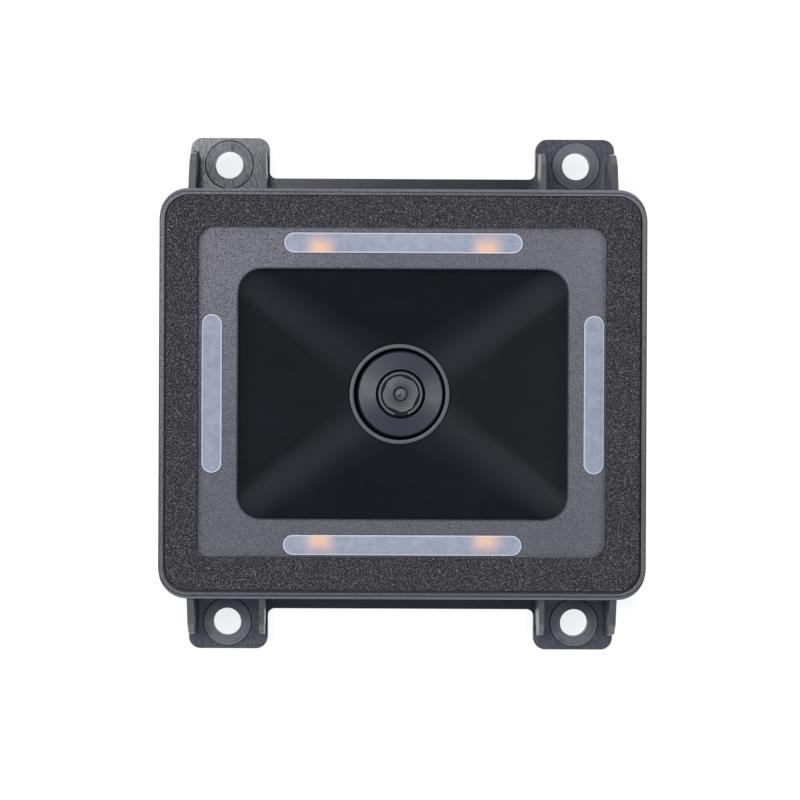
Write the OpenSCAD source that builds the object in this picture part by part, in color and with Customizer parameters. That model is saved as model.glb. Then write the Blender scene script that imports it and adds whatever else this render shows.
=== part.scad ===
// Fixed-mount barcode scan engine, in millimetres.
// It lies on its rear cover: the optical axis is +Z, and the origin is the centre of the rear face.
// +X is right and +Y is up, as seen by someone who looks into the window.

/* [Case] */
// Width of the case
body_w = 60.4; // [59.5:0.1:64]
// Height of the case, without its lugs
body_h = 50.9; // [50.3:0.1:54]
// Depth from the rear face to the front face
body_d = 26; // [25.5:0.1:29]
// Radius of the case's upright corners
corner_r = 3.5; // [2.6:0.1:4.4]
// Wall thickness of the housing
wall = 1.8; // [1.5:0.05:2]
// Thickness of the front bezel
bezel_t = 2.2; // [1.8:0.1:2.6]
// How far the bezel's front steps in at top and bottom
bezel_step = 0.4; // [0.2:0.05:0.5]
// How far below the face that step lies
bezel_step_drop = 1; // [0.6:0.1:1.4]
// Height of the bezel's rim above its face
rim_h = 0.5; // [0.3:0.05:0.7]
// Rounding of the rim's outer edge
rim_edge_r = 0.25; // [0.1:0.05:0.3]
// Thickness of the rear cover
cover_t = 2; // [1.7:0.1:2.5]
// Rounding of the rear cover's outer edge
cover_edge_r = 0.5; // [0.3:0.05:0.7]
// Rounding of the housing's front edge, at the seam
seam_r = 0.2; // [0.1:0.05:0.25]

/* [Window and hood] */
// Width of the window
window_w = 40.9; // [36:0.1:41.5]
// Height of the window
window_h = 31; // [28:0.1:31.6]
// Corner radius of the window
window_r = 3; // [2.2:0.1:4.5]
// Rounding of the window's front edge
window_edge_r = 0.3; // [0.2:0.05:0.9]
// Wall thickness of the hood
hood_wall = 1; // [0.8:0.05:1.15]

/* [Lens] */
// Depth of the lens holder's face below the front face
lens_depth = 9.6; // [8.8:0.1:10.4]
// Height of the lens holder's face above the main board
lens_h = 7.8; // [7.6:0.1:8.2]
// Outer diameter of the hood's collar, the pale ring round the lens
collar_d = 12.6; // [12.3:0.05:13.4]
// Bore of the hood's collar
collar_bore = 11.6; // [11.35:0.05:11.9]
// How far the collar stands above the lens holder's face
collar_rise = 0.5; // [0.3:0.05:0.8]
// Outer diameter of the lens holder's tube
holder_d = 10.9; // [10.4:0.05:11]
// Bore of the lens holder
holder_bore = 6.26; // [6.1:0.01:6.3]
// Side of the lens holder's square foot
holder_foot = 14; // [13.4:0.1:15]
// How far the lens sits to the right of the collar's centre
lens_shift = 0.12; // [0:0.01:0.15]
// Outer diameter of the lens barrel's thread
barrel_d = 6; // [5.8:0.01:6.05]
// Outer diameter of the lens barrel's front rim
barrel_rim_d = 5.55; // [5.4:0.05:5.75]
// Length of the lens barrel
barrel_l = 4.9; // [4.6:0.1:5.2]
// Diameter of the raised nose in the middle of the barrel's face
nose_d = 4.54; // [4.3:0.02:4.6]
// Width of the nose across each pair of its four flats
nose_flats = 4.06; // [3.8:0.02:4.2]
// Width of the notch in the barrel's rim
notch_w = 1.6; // [1.2:0.1:1.8]
// Diameter of the front aperture
pupil_d = 1.8; // [1.4:0.05:2.2]

/* [Light guides] */
// Length of the top and bottom light guides
guide_long = 29.6; // [26:0.1:31]
// Length of the side light guides
guide_short = 19.7; // [17:0.1:22]
// Width of a light guide's face
guide_w = 2.55; // [2.2:0.05:2.8]
// Face left between the window and each light guide
guide_margin = 1.95; // [1.9:0.01:2.1]
// How far the light guides stand out of the face
guide_proud = 0.08; // [0:0.01:0.15]
// Distance from the middle to the white light sources
lamp_x = 10.3; // [8:0.1:12]

/* [Foam gasket] */
// Thickness of the foam
foam_t = 1.2; // [1:0.1:3]
// Gap between the foam and the rim round it
foam_ease = 0.12; // [0.12:0.01:0.2]
// From the case's left and right to the foam
foam_inset_x = 0.75; // [0.7:0.05:1.2]
// From the bezel's top and bottom to the foam
foam_inset_y = 0.55; // [0.55:0.05:0.8]
// How far the foam was stuck too high
foam_shift = 0.1; // [0:0.01:0.11]
// Face left between the side light guides and the foam
foam_gap_x = 0.23; // [0.2:0.01:0.4]
// Face left between the top and bottom light guides and the foam
foam_gap_y = 0.38; // [0.36:0.01:0.5]
// How far left the foam's window was cut
foam_window_left = 0.11; // [0:0.01:0.14]
// How far up the foam's window was cut
foam_window_up = 0.15; // [0:0.01:0.18]
// Inner corner radius of the foam
foam_r = 1.9; // [1.2:0.1:2.6]
// Inner corner radius of the foam's sharply cut corner
foam_sharp_r = 0.6; // [0.4:0.1:1]

/* [Lugs] */
// Distance between the lug holes across X
hole_pitch = 44; // [43:0.1:45]
// Distance from the housing's wall to the lug holes
hole_out = 3.55; // [3.5:0.05:4.5]
// Diameter of the lug holes, free for an M3 screw
hole_d = 3.5; // [3.2:0.1:3.6]
// Diameter of the raised ring round each hole
ring_d = 6; // [5.6:0.1:6.4]
// Height of the raised ring
ring_h = 0.3; // [0.2:0.05:0.8]
// Width of a lug
lug_w = 10; // [9.8:0.1:11]
// How much nearer the middle of the case a lug's middle is than its hole
lug_in = 0.12; // [0:0.01:0.2]
// Thickness of the lugs and flange strips
lug_t = 2.4; // [2:0.1:3]
// Depth of the lugs' front below the front face
lug_drop = 14; // [12.5:0.1:15]
// Plate left beyond the centre of a lug hole
lug_end = 3.4; // [3.2:0.1:4]
// Radius of a lug's outer corners
lug_r = 1.5; // [1:0.1:2]
// How far the flange strips stand out of the walls
strip_out = 1.85; // [1.4:0.05:2.2]
// Fillet between a flange strip and a lug
strip_r = 0.9; // [0.6:0.05:1.2]
// Thickness of the gussets on the case's corner side
gusset_outer_t = 0.9; // [0.7:0.05:1]
// Thickness of the gussets on the case's middle side
gusset_inner_t = 0.75; // [0.6:0.05:0.9]
// Length of a gusset's level front edge, out of the wall
gusset_flat = 3.15; // [2.6:0.05:3.3]
// Length of a gusset's sloped shoulder
gusset_slope = 1.3; // [1:0.05:1.5]
// Drop of the sloped shoulder
gusset_fall = 2.4; // [1.8:0.1:3]
// Outward draft of a gusset's end, down to the lug
gusset_draft = 0.8; // [0.5:0.05:0.9]
// How much thinner a gusset is at its end than at the wall
gusset_taper = 0.2; // [0:0.05:0.3]

/* [Boards] */
// Thickness of the main board
main_t = 1.6; // [1.2:0.1:2]
// Thickness of the lighting board
lighting_t = 1.2; // [1:0.1:1.6]
// Distance from the bezel to the lighting board
lighting_drop = 4.4; // [4.2:0.1:4.8]
// Clearance between the boards and the walls
board_gap = 0.6; // [0.4:0.05:0.9]

/* [Host socket] */
// Number of contacts in the host socket
host_pins = 6; // [4:1:8]
// Distance between the contacts
host_pitch = 2; // [1.5:0.25:2]
// Width of the socket's shroud
host_w = 5.4; // [5:0.1:5.6]
// Distance from the middle of the case down to the socket
host_y = 9; // [6:0.5:10]

/* [Screws] */
// Diameter of the case and board screws
screw_d = 2; // [1.8:0.05:2.1]
// Head diameter of the case and board screws
head_d = 3.8; // [3.5:0.1:4]
// Head height of the case and board screws
head_h = 1.3; // [1.1:0.05:1.4]
// How far the case screws reach into the bezel's posts
case_grip = 3.4; // [2.5:0.1:4]
// Length of the board screws
board_screw_l = 5; // [4:0.5:5]
// Diameter of the lens holder's screws
small_screw_d = 1.4; // [1.2:0.05:1.6]
// Length of the lens holder's screws
small_screw_l = 3.6; // [3:0.1:4]

/* [Fits] */
// Gap between a screw's thread and its hole
screw_gap = 0.05; // [0.03:0.01:0.1]
// Gap round a screw that passes through
free_gap = 0.2; // [0.1:0.05:0.25]
// Gap round the contact pins
pin_gap = 0.05; // [0.03:0.01:0.1]
// Gap between the light guides and their slots
guide_gap = 0.05; // [0.03:0.01:0.1]
// Gap between the locating lips and the housing
lip_gap = 0.15; // [0.1:0.01:0.2]
// Gap left where one piece only stands over another
rest_gap = 0.3; // [0.2:0.02:0.4]

/* [Hidden] */
$fn = 64;
cut = 1;

// Levels along the optical axis
bezel_z = body_d - bezel_t;
bezel_h = body_h - 2 * bezel_step;
lighting_z = bezel_z - lighting_drop;
lens_z = body_d - lens_depth;
parts_z = lens_z - lens_h;
main_z = parts_z - main_t;
lug_z = body_d - lug_drop - lug_t;
lug_front = lug_z + lug_t;
inner_w = body_w - 2 * wall;
inner_h = body_h - 2 * wall;
inner_r = corner_r - wall;

// Locating lips inside the housing
lip_t = 1;
lip_h = 1;
lip_r = 0.4;
lip_w = inner_w - 2 * lip_gap;
lip_l = inner_h - 2 * lip_gap;

// Corner posts: the housing's carry the bezel's, and one long screw runs through both
pad_t = 1.2;
post_r = 3.5;
bezel_post_r = 2.4;
bezel_post_l = 9.5;
post_in = 3.2;
post_x = inner_w / 2 - post_in;
post_y = inner_h / 2 - post_in;
post_top = bezel_z - bezel_post_l;
head_sink = 0.4;
sink_h = head_h + head_sink;
case_screw_l = post_top + case_grip - sink_h;
thread_room = 1;
small_head_d = 2.6;
small_head_h = 0.9;

// Light guides and the light sources under them
guide_x = window_w / 2 + guide_margin + guide_w / 2;
guide_y = window_h / 2 + guide_margin + guide_w / 2;
guide_flange = 0.6;
guide_flange_t = 0.8;
guide_leg = 0.25;
guide_edge_r = 0.1;
lamp_size = [3.5, 2.8, 0.8];
status_size = [0.8, 1.6, 0.6];
status_y = guide_short / 4;

// Foam gasket, on the face inside the bezel's rim
foam_outer = [body_w - 2 * foam_inset_x, bezel_h - 2 * foam_inset_y];
foam_window = [2 * guide_x + guide_w + 2 * foam_gap_x, 2 * guide_y + guide_w + 2 * foam_gap_y];
foam_outer_r = corner_r - foam_inset_y;

// Lugs
lug_x = hole_pitch / 2 + lug_w / 2 - lug_in;
hole_y = body_h / 2 + hole_out;
gusset_in = 0.12;

// Hood, and the window that it needs in the lighting board
hood_flange_t = 1;
hood_ease = 0.15;
hood_gap = 0.7;
hood_floor = lens_z + 0.1;
hood_low = hood_floor - hood_wall;
mouth = [window_w + 2 * hood_ease, window_h + 2 * hood_ease, window_r + hood_ease];
hood_share = (lighting_z - hood_low) / (bezel_z - hood_flange_t - hood_low);
lighting_window = [
    for (side = [mouth.x, mouth.y]) collar_d + hood_share * (side - collar_d) + 2 * (hood_wall + hood_gap)
];
lighting_window_r = 2;

// Lighting board and its bosses, halfway between the guides' ends and the corner posts
board_w = inner_w - 2 * board_gap;
board_h = inner_h - 2 * board_gap;
boss_r = 2;
board_screw_tip = 0.5;
driver_size = [3, 3, 0.9];
driver_in = 3;
resistor_size = [1.6, 0.8, 0.5];
resistor_in = 1.75;
resistor_up = 2;
boss_x = (guide_long / 2 + post_x - bezel_post_r) / 2;
boss_y = guide_y + guide_flange;
link_pins = 5;
link_pitch = 1.27;
link_y = guide_y - 1.2;
link_w = 5;
link_body = [link_pins * link_pitch + 0.6, link_w];
header_t = 2.5;
link_pin_up = 1.4;

// Main board standoffs and lens parts
standoff_r = 2.5;
standoff_x = post_x - post_r - standoff_r - 1.7;
standoff_y = post_y - standoff_r;
foot_h = 3;
ear_r = 1.7;
ear_roof = 0.4;
ear_x = holder_foot / 2 + 1.4;
collar_low = parts_z + foot_h + 0.8;
sensor_size = [6.6, 6.2, 0.9];
sensor_glass_size = [5.4, 5, 0.4];
filter_size = [5.8, 5.8, 0.3];
foot_r = 1;
barrel_sink = 0.15;
barrel_top = lens_z - barrel_sink;
barrel_low = barrel_top - barrel_l;
focus_gap = 0.15;
web_t = 0.5;
web_bore = 4.8;
web_z = barrel_low - focus_gap - web_t;
cavity = [8.6, 8.6, web_z - parts_z];
barrel_bore = 4.6;
barrel_front = 1.1;
rim_t = 0.3;
rim_groove = 0.35;
nose_turn = 67.5;
notch_turn = -87;
neck_l = 1.2;
lens_gap = 0.03;
front_lens_t = 1;
rear_lens_t = 0.8;
retainer_t = 0.7;
retainer_w = 0.7;
spacer_t = 0.9;
spacer_bore = pupil_d + 1;
front_lens_z = barrel_top - barrel_front - front_lens_t;
spacer_z = front_lens_z - spacer_t;
rear_lens_z = spacer_z - rear_lens_t;

// Parts in two columns on the main board, between the lens holder and the board's sides
column_x = (ear_x + ear_r + board_w / 2) / 2;
upper_y = board_h / 10;
lower_y = board_h / 7;
row_y = board_h / 4;
decoder_size = [10, 10, 1.2];
memory_size = [8, 6, 0.9];
regulator_size = [3, 3, 0.9];
regulator_out = 4;
inductor_size = [4.2, 4.2, 2.2];
inductor_in = 3.5;
crystal_size = [3.2, 2.5, 0.7];
can_r = 0.4;
buzzer_size = [9, 9, 3];
moulded_r = 0.8;
capacitor_size = [1.6, 0.8, 0.8];
capacitor_pitch = 2.4;

// Host socket
host_wall = 0.9;
host_l = host_pins * host_pitch + 2 * host_wall + 1;
host_low = 0.6;
host_floor = 1.4;
host_hole_r = 0.6;
pin_w = 0.5;
pin_proud = 0.6;
pin_up = 1;

// Flat shapes
module rounded_rect(w, h, r) {
    square([w - 2 * r, h], center = true);
    square([w, h - 2 * r], center = true);
    for (x = [-1, 1]) {
        for (y = [-1, 1]) {
            translate([x * (w / 2 - r), y * (h / 2 - r)]) circle(r = r);
        }
    }
}

module plate(w, h, r, t) {
    linear_extrude(t) rounded_rect(w, h, r);
}

module stadium(len, w, t) {
    linear_extrude(t) {
        square([len - w, w], center = true);
        for (x = [-1, 1]) {
            translate([x * (len - w) / 2, 0]) circle(d = w);
        }
    }
}

module block(size, x = 0, y = 0, z = 0) {
    translate([x - size.x / 2, y - size.y / 2, z]) cube(size);
}

module at_corners(x, y) {
    for (sx = [-1, 1]) {
        for (sy = [-1, 1]) {
            translate([sx * x, sy * y, 0]) children();
        }
    }
}

module mirror_copies() {
    for (mx = [0, 1]) {
        for (my = [0, 1]) {
            mirror([mx, 0, 0]) mirror([0, my, 0]) children();
        }
    }
}

// Runs a flat profile round a rounded rectangle: the profile's X points outwards, its Y is +Z
module edge_sweep(w, h, r) {
    for (side = [0 : 3]) {
        across = side % 2 == 0 ? w : h;
        run = (side % 2 == 0 ? h : w) - 2 * r;
        rotate(90 * side) {
            if (run > 0) {
                translate([across / 2, run / 2, 0]) rotate([90, 0, 0]) linear_extrude(run) children();
            }
            translate([across / 2 - r, run / 2, 0]) rotate_extrude(angle = 90) translate([r, 0]) children();
        }
    }
}

// What a cutter takes away to round an outer edge that ends at height 0
module outer_rounding(r) {
    difference() {
        translate([-r, -r]) square([r + cut, r + cut]);
        translate([-r, -r]) circle(r = r);
    }
}

// What a cutter takes away to round the front edge of a hole
module inner_rounding(r) {
    difference() {
        translate([-cut / 2, -r]) square([r + cut / 2, r + cut]);
        translate([r, -r]) circle(r = r);
    }
}

// A screw with its head's underside at height 0, its shank down and a cross in its head
module screw(d, len, hd, hh) {
    slot_w = hd / 9;
    slot_l = hd * 0.6;
    difference() {
        union() {
            intersection() {
                cylinder(d = hd, h = hh);
                translate([0, 0, hh - hd]) sphere(r = hd);
            }
            translate([0, 0, -len + d / 4]) cylinder(d = d, h = len - d / 4);
            translate([0, 0, -len]) cylinder(d1 = d / 2, d2 = d, h = d / 4);
        }
        for (turn = [0, 90]) {
            rotate(turn) block([slot_l, slot_w, hh], z = hh * 0.4);
        }
    }
}

// Case
module front_bezel() {
    color([0.44, 0.43, 0.46]) difference() {
        union() {
            translate([0, 0, bezel_z]) {
                plate(body_w, body_h, corner_r, bezel_t - bezel_step_drop);
                plate(body_w, bezel_h, corner_r, bezel_t + rim_h);
            }
            translate([0, 0, bezel_z - lip_h]) difference() {
                plate(lip_w, lip_l, max(inner_r - lip_gap, lip_r), lip_h + cut / 2);
                translate([0, 0, -cut]) plate(lip_w - 2 * lip_t, lip_l - 2 * lip_t, lip_r, lip_h + 3 * cut);
            }
            at_corners(post_x, post_y) translate([0, 0, post_top]) {
                cylinder(r = bezel_post_r, h = bezel_post_l + cut / 2);
            }
            at_corners(boss_x, boss_y) translate([0, 0, lighting_z]) {
                cylinder(r = boss_r, h = lighting_drop + cut / 2);
            }
        }
        translate([0, 0, bezel_z - cut]) plate(window_w, window_h, window_r, bezel_t + 2 * cut);
        translate([0, 0, body_d]) {
            linear_extrude(rim_h + cut) foam_outline(foam_ease);
            edge_sweep(window_w, window_h, window_r) inner_rounding(window_edge_r);
        }
        translate([0, 0, body_d + rim_h]) {
            edge_sweep(body_w, bezel_h, corner_r) outer_rounding(rim_edge_r);
        }
        guide_places() translate([0, 0, bezel_z - cut]) {
            stadium($len + 2 * guide_gap, guide_w + 2 * guide_gap, bezel_t + 2 * cut);
        }
        at_corners(post_x, post_y) translate([0, 0, post_top - cut]) {
            cylinder(d = screw_d + 2 * screw_gap, h = case_grip + thread_room + cut);
        }
        at_corners(boss_x, boss_y) translate([0, 0, lighting_z - cut]) {
            cylinder(d = screw_d + 2 * screw_gap, h = board_screw_l - lighting_t + cut);
        }
    }
}

module guide_places() {
    for (side = [0 : 3]) {
        upright = side % 2 == 1;
        $len = upright ? guide_short : guide_long;
        rotate(90 * side) translate([0, upright ? guide_x : guide_y, 0]) children();
    }
}

// The foam's outer outline, or one that lies ease outside it
module foam_outline(ease = 0) {
    rounded_rect(foam_outer.x + 2 * ease, foam_outer.y + 2 * ease, foam_outer_r + ease);
}

module foam_gasket() {
    sharp = foam_r + 2 * foam_sharp_r;
    color([0.26, 0.26, 0.27]) translate([0, foam_shift, body_d]) linear_extrude(foam_t) difference() {
        foam_outline();
        translate([-foam_window_left, foam_window_up]) {
            rounded_rect(foam_window.x, foam_window.y, foam_r);
            translate(([sharp, sharp] - foam_window) / 2) rounded_rect(sharp, sharp, foam_sharp_r);
        }
    }
}

// The funnel blends four flat walls into the round collar, so its creases widen towards the lens
module hood_loft(w, h, r, top_z, top_t, low_d, low_z, low_t) {
    hull() {
        translate([0, 0, top_z]) plate(w, h, r, top_t);
        translate([0, 0, low_z]) cylinder(d = low_d, h = low_t, $fn = 96);
    }
}

module optical_hood() {
    rim = 2 * hood_wall;
    color([0.1, 0.1, 0.11]) difference() {
        union() {
            difference() {
                hood_loft(
                    mouth.x + rim, mouth.y + rim, mouth.z + hood_wall,
                    bezel_z - hood_flange_t, hood_flange_t, collar_d + rim, hood_low, 0.1
                );
                hood_loft(mouth.x, mouth.y, mouth.z, bezel_z, cut, collar_d, hood_floor, 0.01);
            }
            translate([0, 0, collar_low]) cylinder(d = collar_d, h = lens_z + collar_rise - collar_low);
        }
        translate([0, 0, collar_low - cut]) cylinder(d = collar_bore, h = body_d);
    }
}

module lug_outline() {
    x0 = lug_x - lug_w;
    y0 = body_h / 2 - wall;
    y1 = hole_y + lug_end;
    strip_y = body_h / 2 + strip_out;
    square([x0 + cut, strip_y]);
    translate([x0, 0]) square([lug_w, y1 - lug_r]);
    translate([x0 + lug_r, y0]) square([lug_w - 2 * lug_r, y1 - y0]);
    for (x = [x0 + lug_r, x0 + lug_w - lug_r]) {
        translate([x, y1 - lug_r]) circle(r = lug_r);
    }
    difference() {
        translate([x0 - strip_r, strip_y - cut]) square([strip_r + cut, strip_r + cut]);
        translate([x0 - strip_r, strip_y + strip_r]) circle(r = strip_r);
    }
}

// A gusset whose outer side, at x, leans in by the taper; a negative t is measured towards -X
module gusset(x, t) {
    y0 = body_h / 2;
    y1 = y0 + gusset_flat;
    y2 = y1 + gusset_slope;
    y3 = y2 + gusset_draft;
    low = lug_front - lug_t / 2;
    outline = [
        [y0 - wall / 2, low], [y0 - wall / 2, bezel_z], [y1, bezel_z],
        [y2, bezel_z - gusset_fall], [y3, lug_front], [y3, low]
    ];
    lean = sign(t) * gusset_taper;
    intersection() {
        translate([min(x, x + t), 0, 0]) rotate([90, 0, 90]) linear_extrude(abs(t)) polygon(outline);
        linear_extrude(body_d) polygon([[x + t, 0], [x + t, y3], [x + lean, y3], [x, y0], [x, 0]]);
    }
}

module housing() {
    color([0.33, 0.34, 0.37]) difference() {
        union() {
            difference() {
                union() {
                    difference() {
                        translate([0, 0, cover_t]) plate(body_w, body_h, corner_r, bezel_z - cover_t);
                        translate([0, 0, bezel_z]) edge_sweep(body_w, body_h, corner_r) {
                            outer_rounding(seam_r);
                        }
                    }
                    mirror_copies() {
                        translate([0, 0, lug_z]) linear_extrude(lug_t) lug_outline();
                        gusset(lug_x - gusset_in, -gusset_outer_t);
                        gusset(lug_x - lug_w + gusset_in, gusset_inner_t);
                        translate([hole_pitch / 2, hole_y, lug_z]) cylinder(d = ring_d, h = lug_t + ring_h);
                    }
                }
                translate([0, 0, cover_t - cut]) plate(inner_w, inner_h, inner_r, body_d);
            }
            intersection() {
                at_corners(post_x, post_y) translate([0, 0, cover_t + pad_t]) {
                    cylinder(r = post_r, h = post_top - cover_t - pad_t);
                }
                plate(inner_w + wall, inner_h + wall, inner_r + wall / 2, body_d);
            }
        }
        at_corners(hole_pitch / 2, hole_y) cylinder(d = hole_d, h = body_d);
        at_corners(post_x, post_y) cylinder(d = screw_d + 2 * free_gap, h = body_d);
    }
}

module rear_cover() {
    host_hole = [host_l + 2 * rest_gap, host_w + 2 * rest_gap];
    color([0.3, 0.31, 0.33]) difference() {
        union() {
            plate(body_w, body_h, corner_r, cover_t);
            translate([0, 0, cover_t - cut / 2]) difference() {
                plate(lip_w, lip_l, max(inner_r - lip_gap, lip_r), lip_h + cut / 2);
                translate([0, 0, -cut]) plate(lip_w - 2 * lip_t, lip_l - 2 * lip_t, lip_r, lip_h + 3 * cut);
            }
            at_corners(post_x, post_y) translate([0, 0, cover_t - cut / 2]) {
                cylinder(r = post_in - lip_gap, h = pad_t + cut / 2);
            }
            at_corners(standoff_x, standoff_y) cylinder(r = standoff_r, h = main_z);
        }
        mirror([0, 0, 1]) edge_sweep(body_w, body_h, corner_r) outer_rounding(cover_edge_r);
        at_corners(post_x, post_y) {
            translate([0, 0, -cut]) cylinder(d = head_d + 2 * free_gap, h = sink_h + cut);
            translate([0, 0, -cut]) cylinder(d = screw_d + 2 * free_gap, h = body_d);
        }
        at_corners(standoff_x, standoff_y) translate([0, 0, parts_z - board_screw_l - thread_room / 2]) {
            cylinder(d = screw_d + 2 * screw_gap, h = body_d);
        }
        translate([0, -host_y, -cut]) plate(host_hole.x, host_hole.y, host_hole_r, cover_t + 2 * cut);
    }
}

module case_screws() {
    color([0.55, 0.55, 0.57]) at_corners(post_x, post_y) translate([0, 0, sink_h]) {
        mirror([0, 0, 1]) screw(screw_d, case_screw_l, head_d, head_h);
    }
}

// Light
module light_guide(len) {
    leg_z = lighting_z + lamp_size.z + rest_gap;
    flange_z = bezel_z - guide_flange_t;
    color([0.72, 0.74, 0.8]) difference() {
        union() {
            translate([0, 0, leg_z]) {
                stadium(len - 2 * guide_leg, guide_w - 2 * guide_leg, flange_z - leg_z + cut / 2);
            }
            translate([0, 0, flange_z]) {
                stadium(len + 2 * guide_flange, guide_w + 2 * guide_flange, guide_flange_t);
                stadium(len, guide_w, body_d + guide_proud - flange_z);
            }
        }
        translate([0, 0, body_d + guide_proud]) {
            edge_sweep(len, guide_w, guide_w / 2) outer_rounding(guide_edge_r);
        }
    }
}

module light_guide_top() {
    translate([0, guide_y, 0]) light_guide(guide_long);
}

module light_guide_bottom() {
    translate([0, -guide_y, 0]) light_guide(guide_long);
}

module light_guide_left() {
    translate([-guide_x, 0, 0]) rotate(90) light_guide(guide_short);
}

module light_guide_right() {
    translate([guide_x, 0, 0]) rotate(90) light_guide(guide_short);
}

// A board with its four corners cut away from the posts
module board(t, notch_r) {
    linear_extrude(t) difference() {
        square([board_w, board_h], center = true);
        at_corners(post_x, post_y) square(2 * (notch_r + board_gap), center = true);
        at_corners(board_w / 2, board_h / 2) square(2 * (board_w / 2 - post_x), center = true);
    }
}

module led_board() {
    color([0.08, 0.3, 0.16]) translate([0, 0, lighting_z - lighting_t]) difference() {
        board(lighting_t, bezel_post_r);
        translate([0, 0, -cut]) {
            plate(lighting_window.x, lighting_window.y, lighting_window_r, lighting_t + 2 * cut);
            at_corners(boss_x, boss_y) cylinder(d = screw_d + 2 * free_gap, h = lighting_t + 2 * cut);
        }
        link_places() block([pin_w + 2 * pin_gap, pin_w + 2 * pin_gap, lighting_t + 2 * cut], z = -cut);
    }
}

module illumination_leds() {
    color([0.93, 0.8, 0.45]) translate([0, 0, lighting_z]) at_corners(lamp_x, guide_y) block(lamp_size);
}

module status_leds() {
    color([0.9, 0.9, 0.88]) translate([0, 0, lighting_z]) at_corners(guide_x, status_y) block(status_size);
}

module led_driver() {
    color([0.07, 0.07, 0.08]) translate([guide_x - driver_in, 0, lighting_z - lighting_t - driver_size.z]) {
        block(driver_size);
    }
}

module led_resistors() {
    color([0.12, 0.12, 0.13]) translate([0, 0, lighting_z - lighting_t - resistor_size.z]) {
        at_corners(lamp_x, guide_y - resistor_in) block(resistor_size);
        at_corners(guide_x - resistor_in, status_y + resistor_up) block(resistor_size);
    }
}

module led_board_screws() {
    color([0.7, 0.7, 0.72]) at_corners(boss_x, boss_y) translate([0, 0, lighting_z - lighting_t]) {
        mirror([0, 0, 1]) screw(screw_d, board_screw_l - board_screw_tip, head_d, head_h);
    }
}

module link_places() {
    for (row = [-0.5, 0.5]) {
        for (i = [0 : link_pins - 1]) {
            x = (i - (link_pins - 1) / 2) * link_pitch;
            translate([x, -link_y + row * 2 * link_pitch, 0]) children();
        }
    }
}

module board_link_header() {
    size = [link_body.x, link_body.y, header_t];
    color([0.09, 0.09, 0.1]) difference() {
        block(size, y = -link_y, z = lighting_z - lighting_t - header_t);
        link_places() block([pin_w, pin_w, body_d]);
    }
}

module board_link_pins() {
    low = parts_z + link_pin_up;
    high = lighting_z + pin_proud;
    color([0.85, 0.72, 0.35]) link_places() block([pin_w, pin_w, high - low], z = low);
}

module board_link_socket() {
    top = lighting_z - lighting_t - header_t - rest_gap;
    hole = [pin_w + 2 * pin_gap, pin_w + 2 * pin_gap, body_d];
    color([0.09, 0.09, 0.1]) difference() {
        block([link_body.x, link_body.y, top - parts_z], y = -link_y, z = parts_z);
        link_places() block(hole, z = parts_z + link_pin_up / 2);
    }
}

// Main board and what it carries
module main_board() {
    color([0.08, 0.3, 0.16]) translate([0, 0, main_z]) difference() {
        board(main_t, post_r);
        translate([0, 0, -cut]) {
            at_corners(standoff_x, standoff_y) cylinder(d = screw_d + 2 * free_gap, h = main_t + 2 * cut);
            for (x = [-ear_x, ear_x]) {
                translate([x + lens_shift, 0, 0]) {
                    cylinder(d = small_screw_d + 2 * free_gap, h = main_t + 2 * cut);
                }
            }
        }
        host_places() block([pin_w + 2 * pin_gap, pin_w + 2 * pin_gap, main_t + 2 * cut], z = -cut);
    }
}

module main_board_screws() {
    color([0.7, 0.7, 0.72]) at_corners(standoff_x, standoff_y) translate([0, 0, parts_z]) {
        screw(screw_d, board_screw_l, head_d, head_h);
    }
}

// A chip with a shallow round mark by its first contact
module chip(size, x, y) {
    mark_d = 0.6;
    mark_depth = 0.1;
    mark_in = 0.12;
    mark = [x, y, parts_z + size.z - mark_depth] + [-size.x, size.y, 0] * (0.5 - mark_in);
    color([0.07, 0.07, 0.08]) difference() {
        block(size, x, y, parts_z);
        translate(mark) cylinder(d = mark_d, h = cut);
    }
}

module decoder_chip() {
    chip(decoder_size, -column_x, upper_y);
}

module memory_chip() {
    chip(memory_size, -column_x, -lower_y);
}

module regulator() {
    chip(regulator_size, column_x + regulator_out, -lower_y);
}

module crystal() {
    color([0.75, 0.75, 0.74]) translate([-ear_x, row_y, parts_z]) {
        plate(crystal_size.x, crystal_size.y, can_r, crystal_size.z);
    }
}

module power_inductor() {
    winding_d = 3.4;
    groove = 0.3;
    color([0.2, 0.2, 0.21]) translate([column_x - inductor_in, -lower_y, parts_z]) difference() {
        plate(inductor_size.x, inductor_size.y, moulded_r, inductor_size.z);
        translate([0, 0, inductor_size.z - groove]) difference() {
            cylinder(d = winding_d, h = cut);
            translate([0, 0, -cut]) cylinder(d = winding_d - 2 * groove, h = 3 * cut);
        }
    }
}

module capacitor_row(count, x, y) {
    for (i = [0 : count - 1]) {
        block(capacitor_size, x + (i - (count - 1) / 2) * capacitor_pitch, y, parts_z);
    }
}

module chip_capacitors() {
    color([0.6, 0.48, 0.33]) {
        capacitor_row(4, -column_x, row_y);
        capacitor_row(4, column_x, -row_y);
        capacitor_row(3, -column_x, -row_y);
    }
}

module buzzer() {
    sound_hole_d = 1.6;
    diaphragm_z = 1;
    color([0.1, 0.1, 0.11]) translate([column_x, upper_y, parts_z]) difference() {
        plate(buzzer_size.x, buzzer_size.y, moulded_r, buzzer_size.z);
        translate([0, 0, diaphragm_z]) cylinder(d = sound_hole_d, h = buzzer_size.z);
    }
}

module host_places() {
    for (i = [0 : host_pins - 1]) {
        translate([(i - (host_pins - 1) / 2) * host_pitch, -host_y, 0]) children();
    }
}

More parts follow.
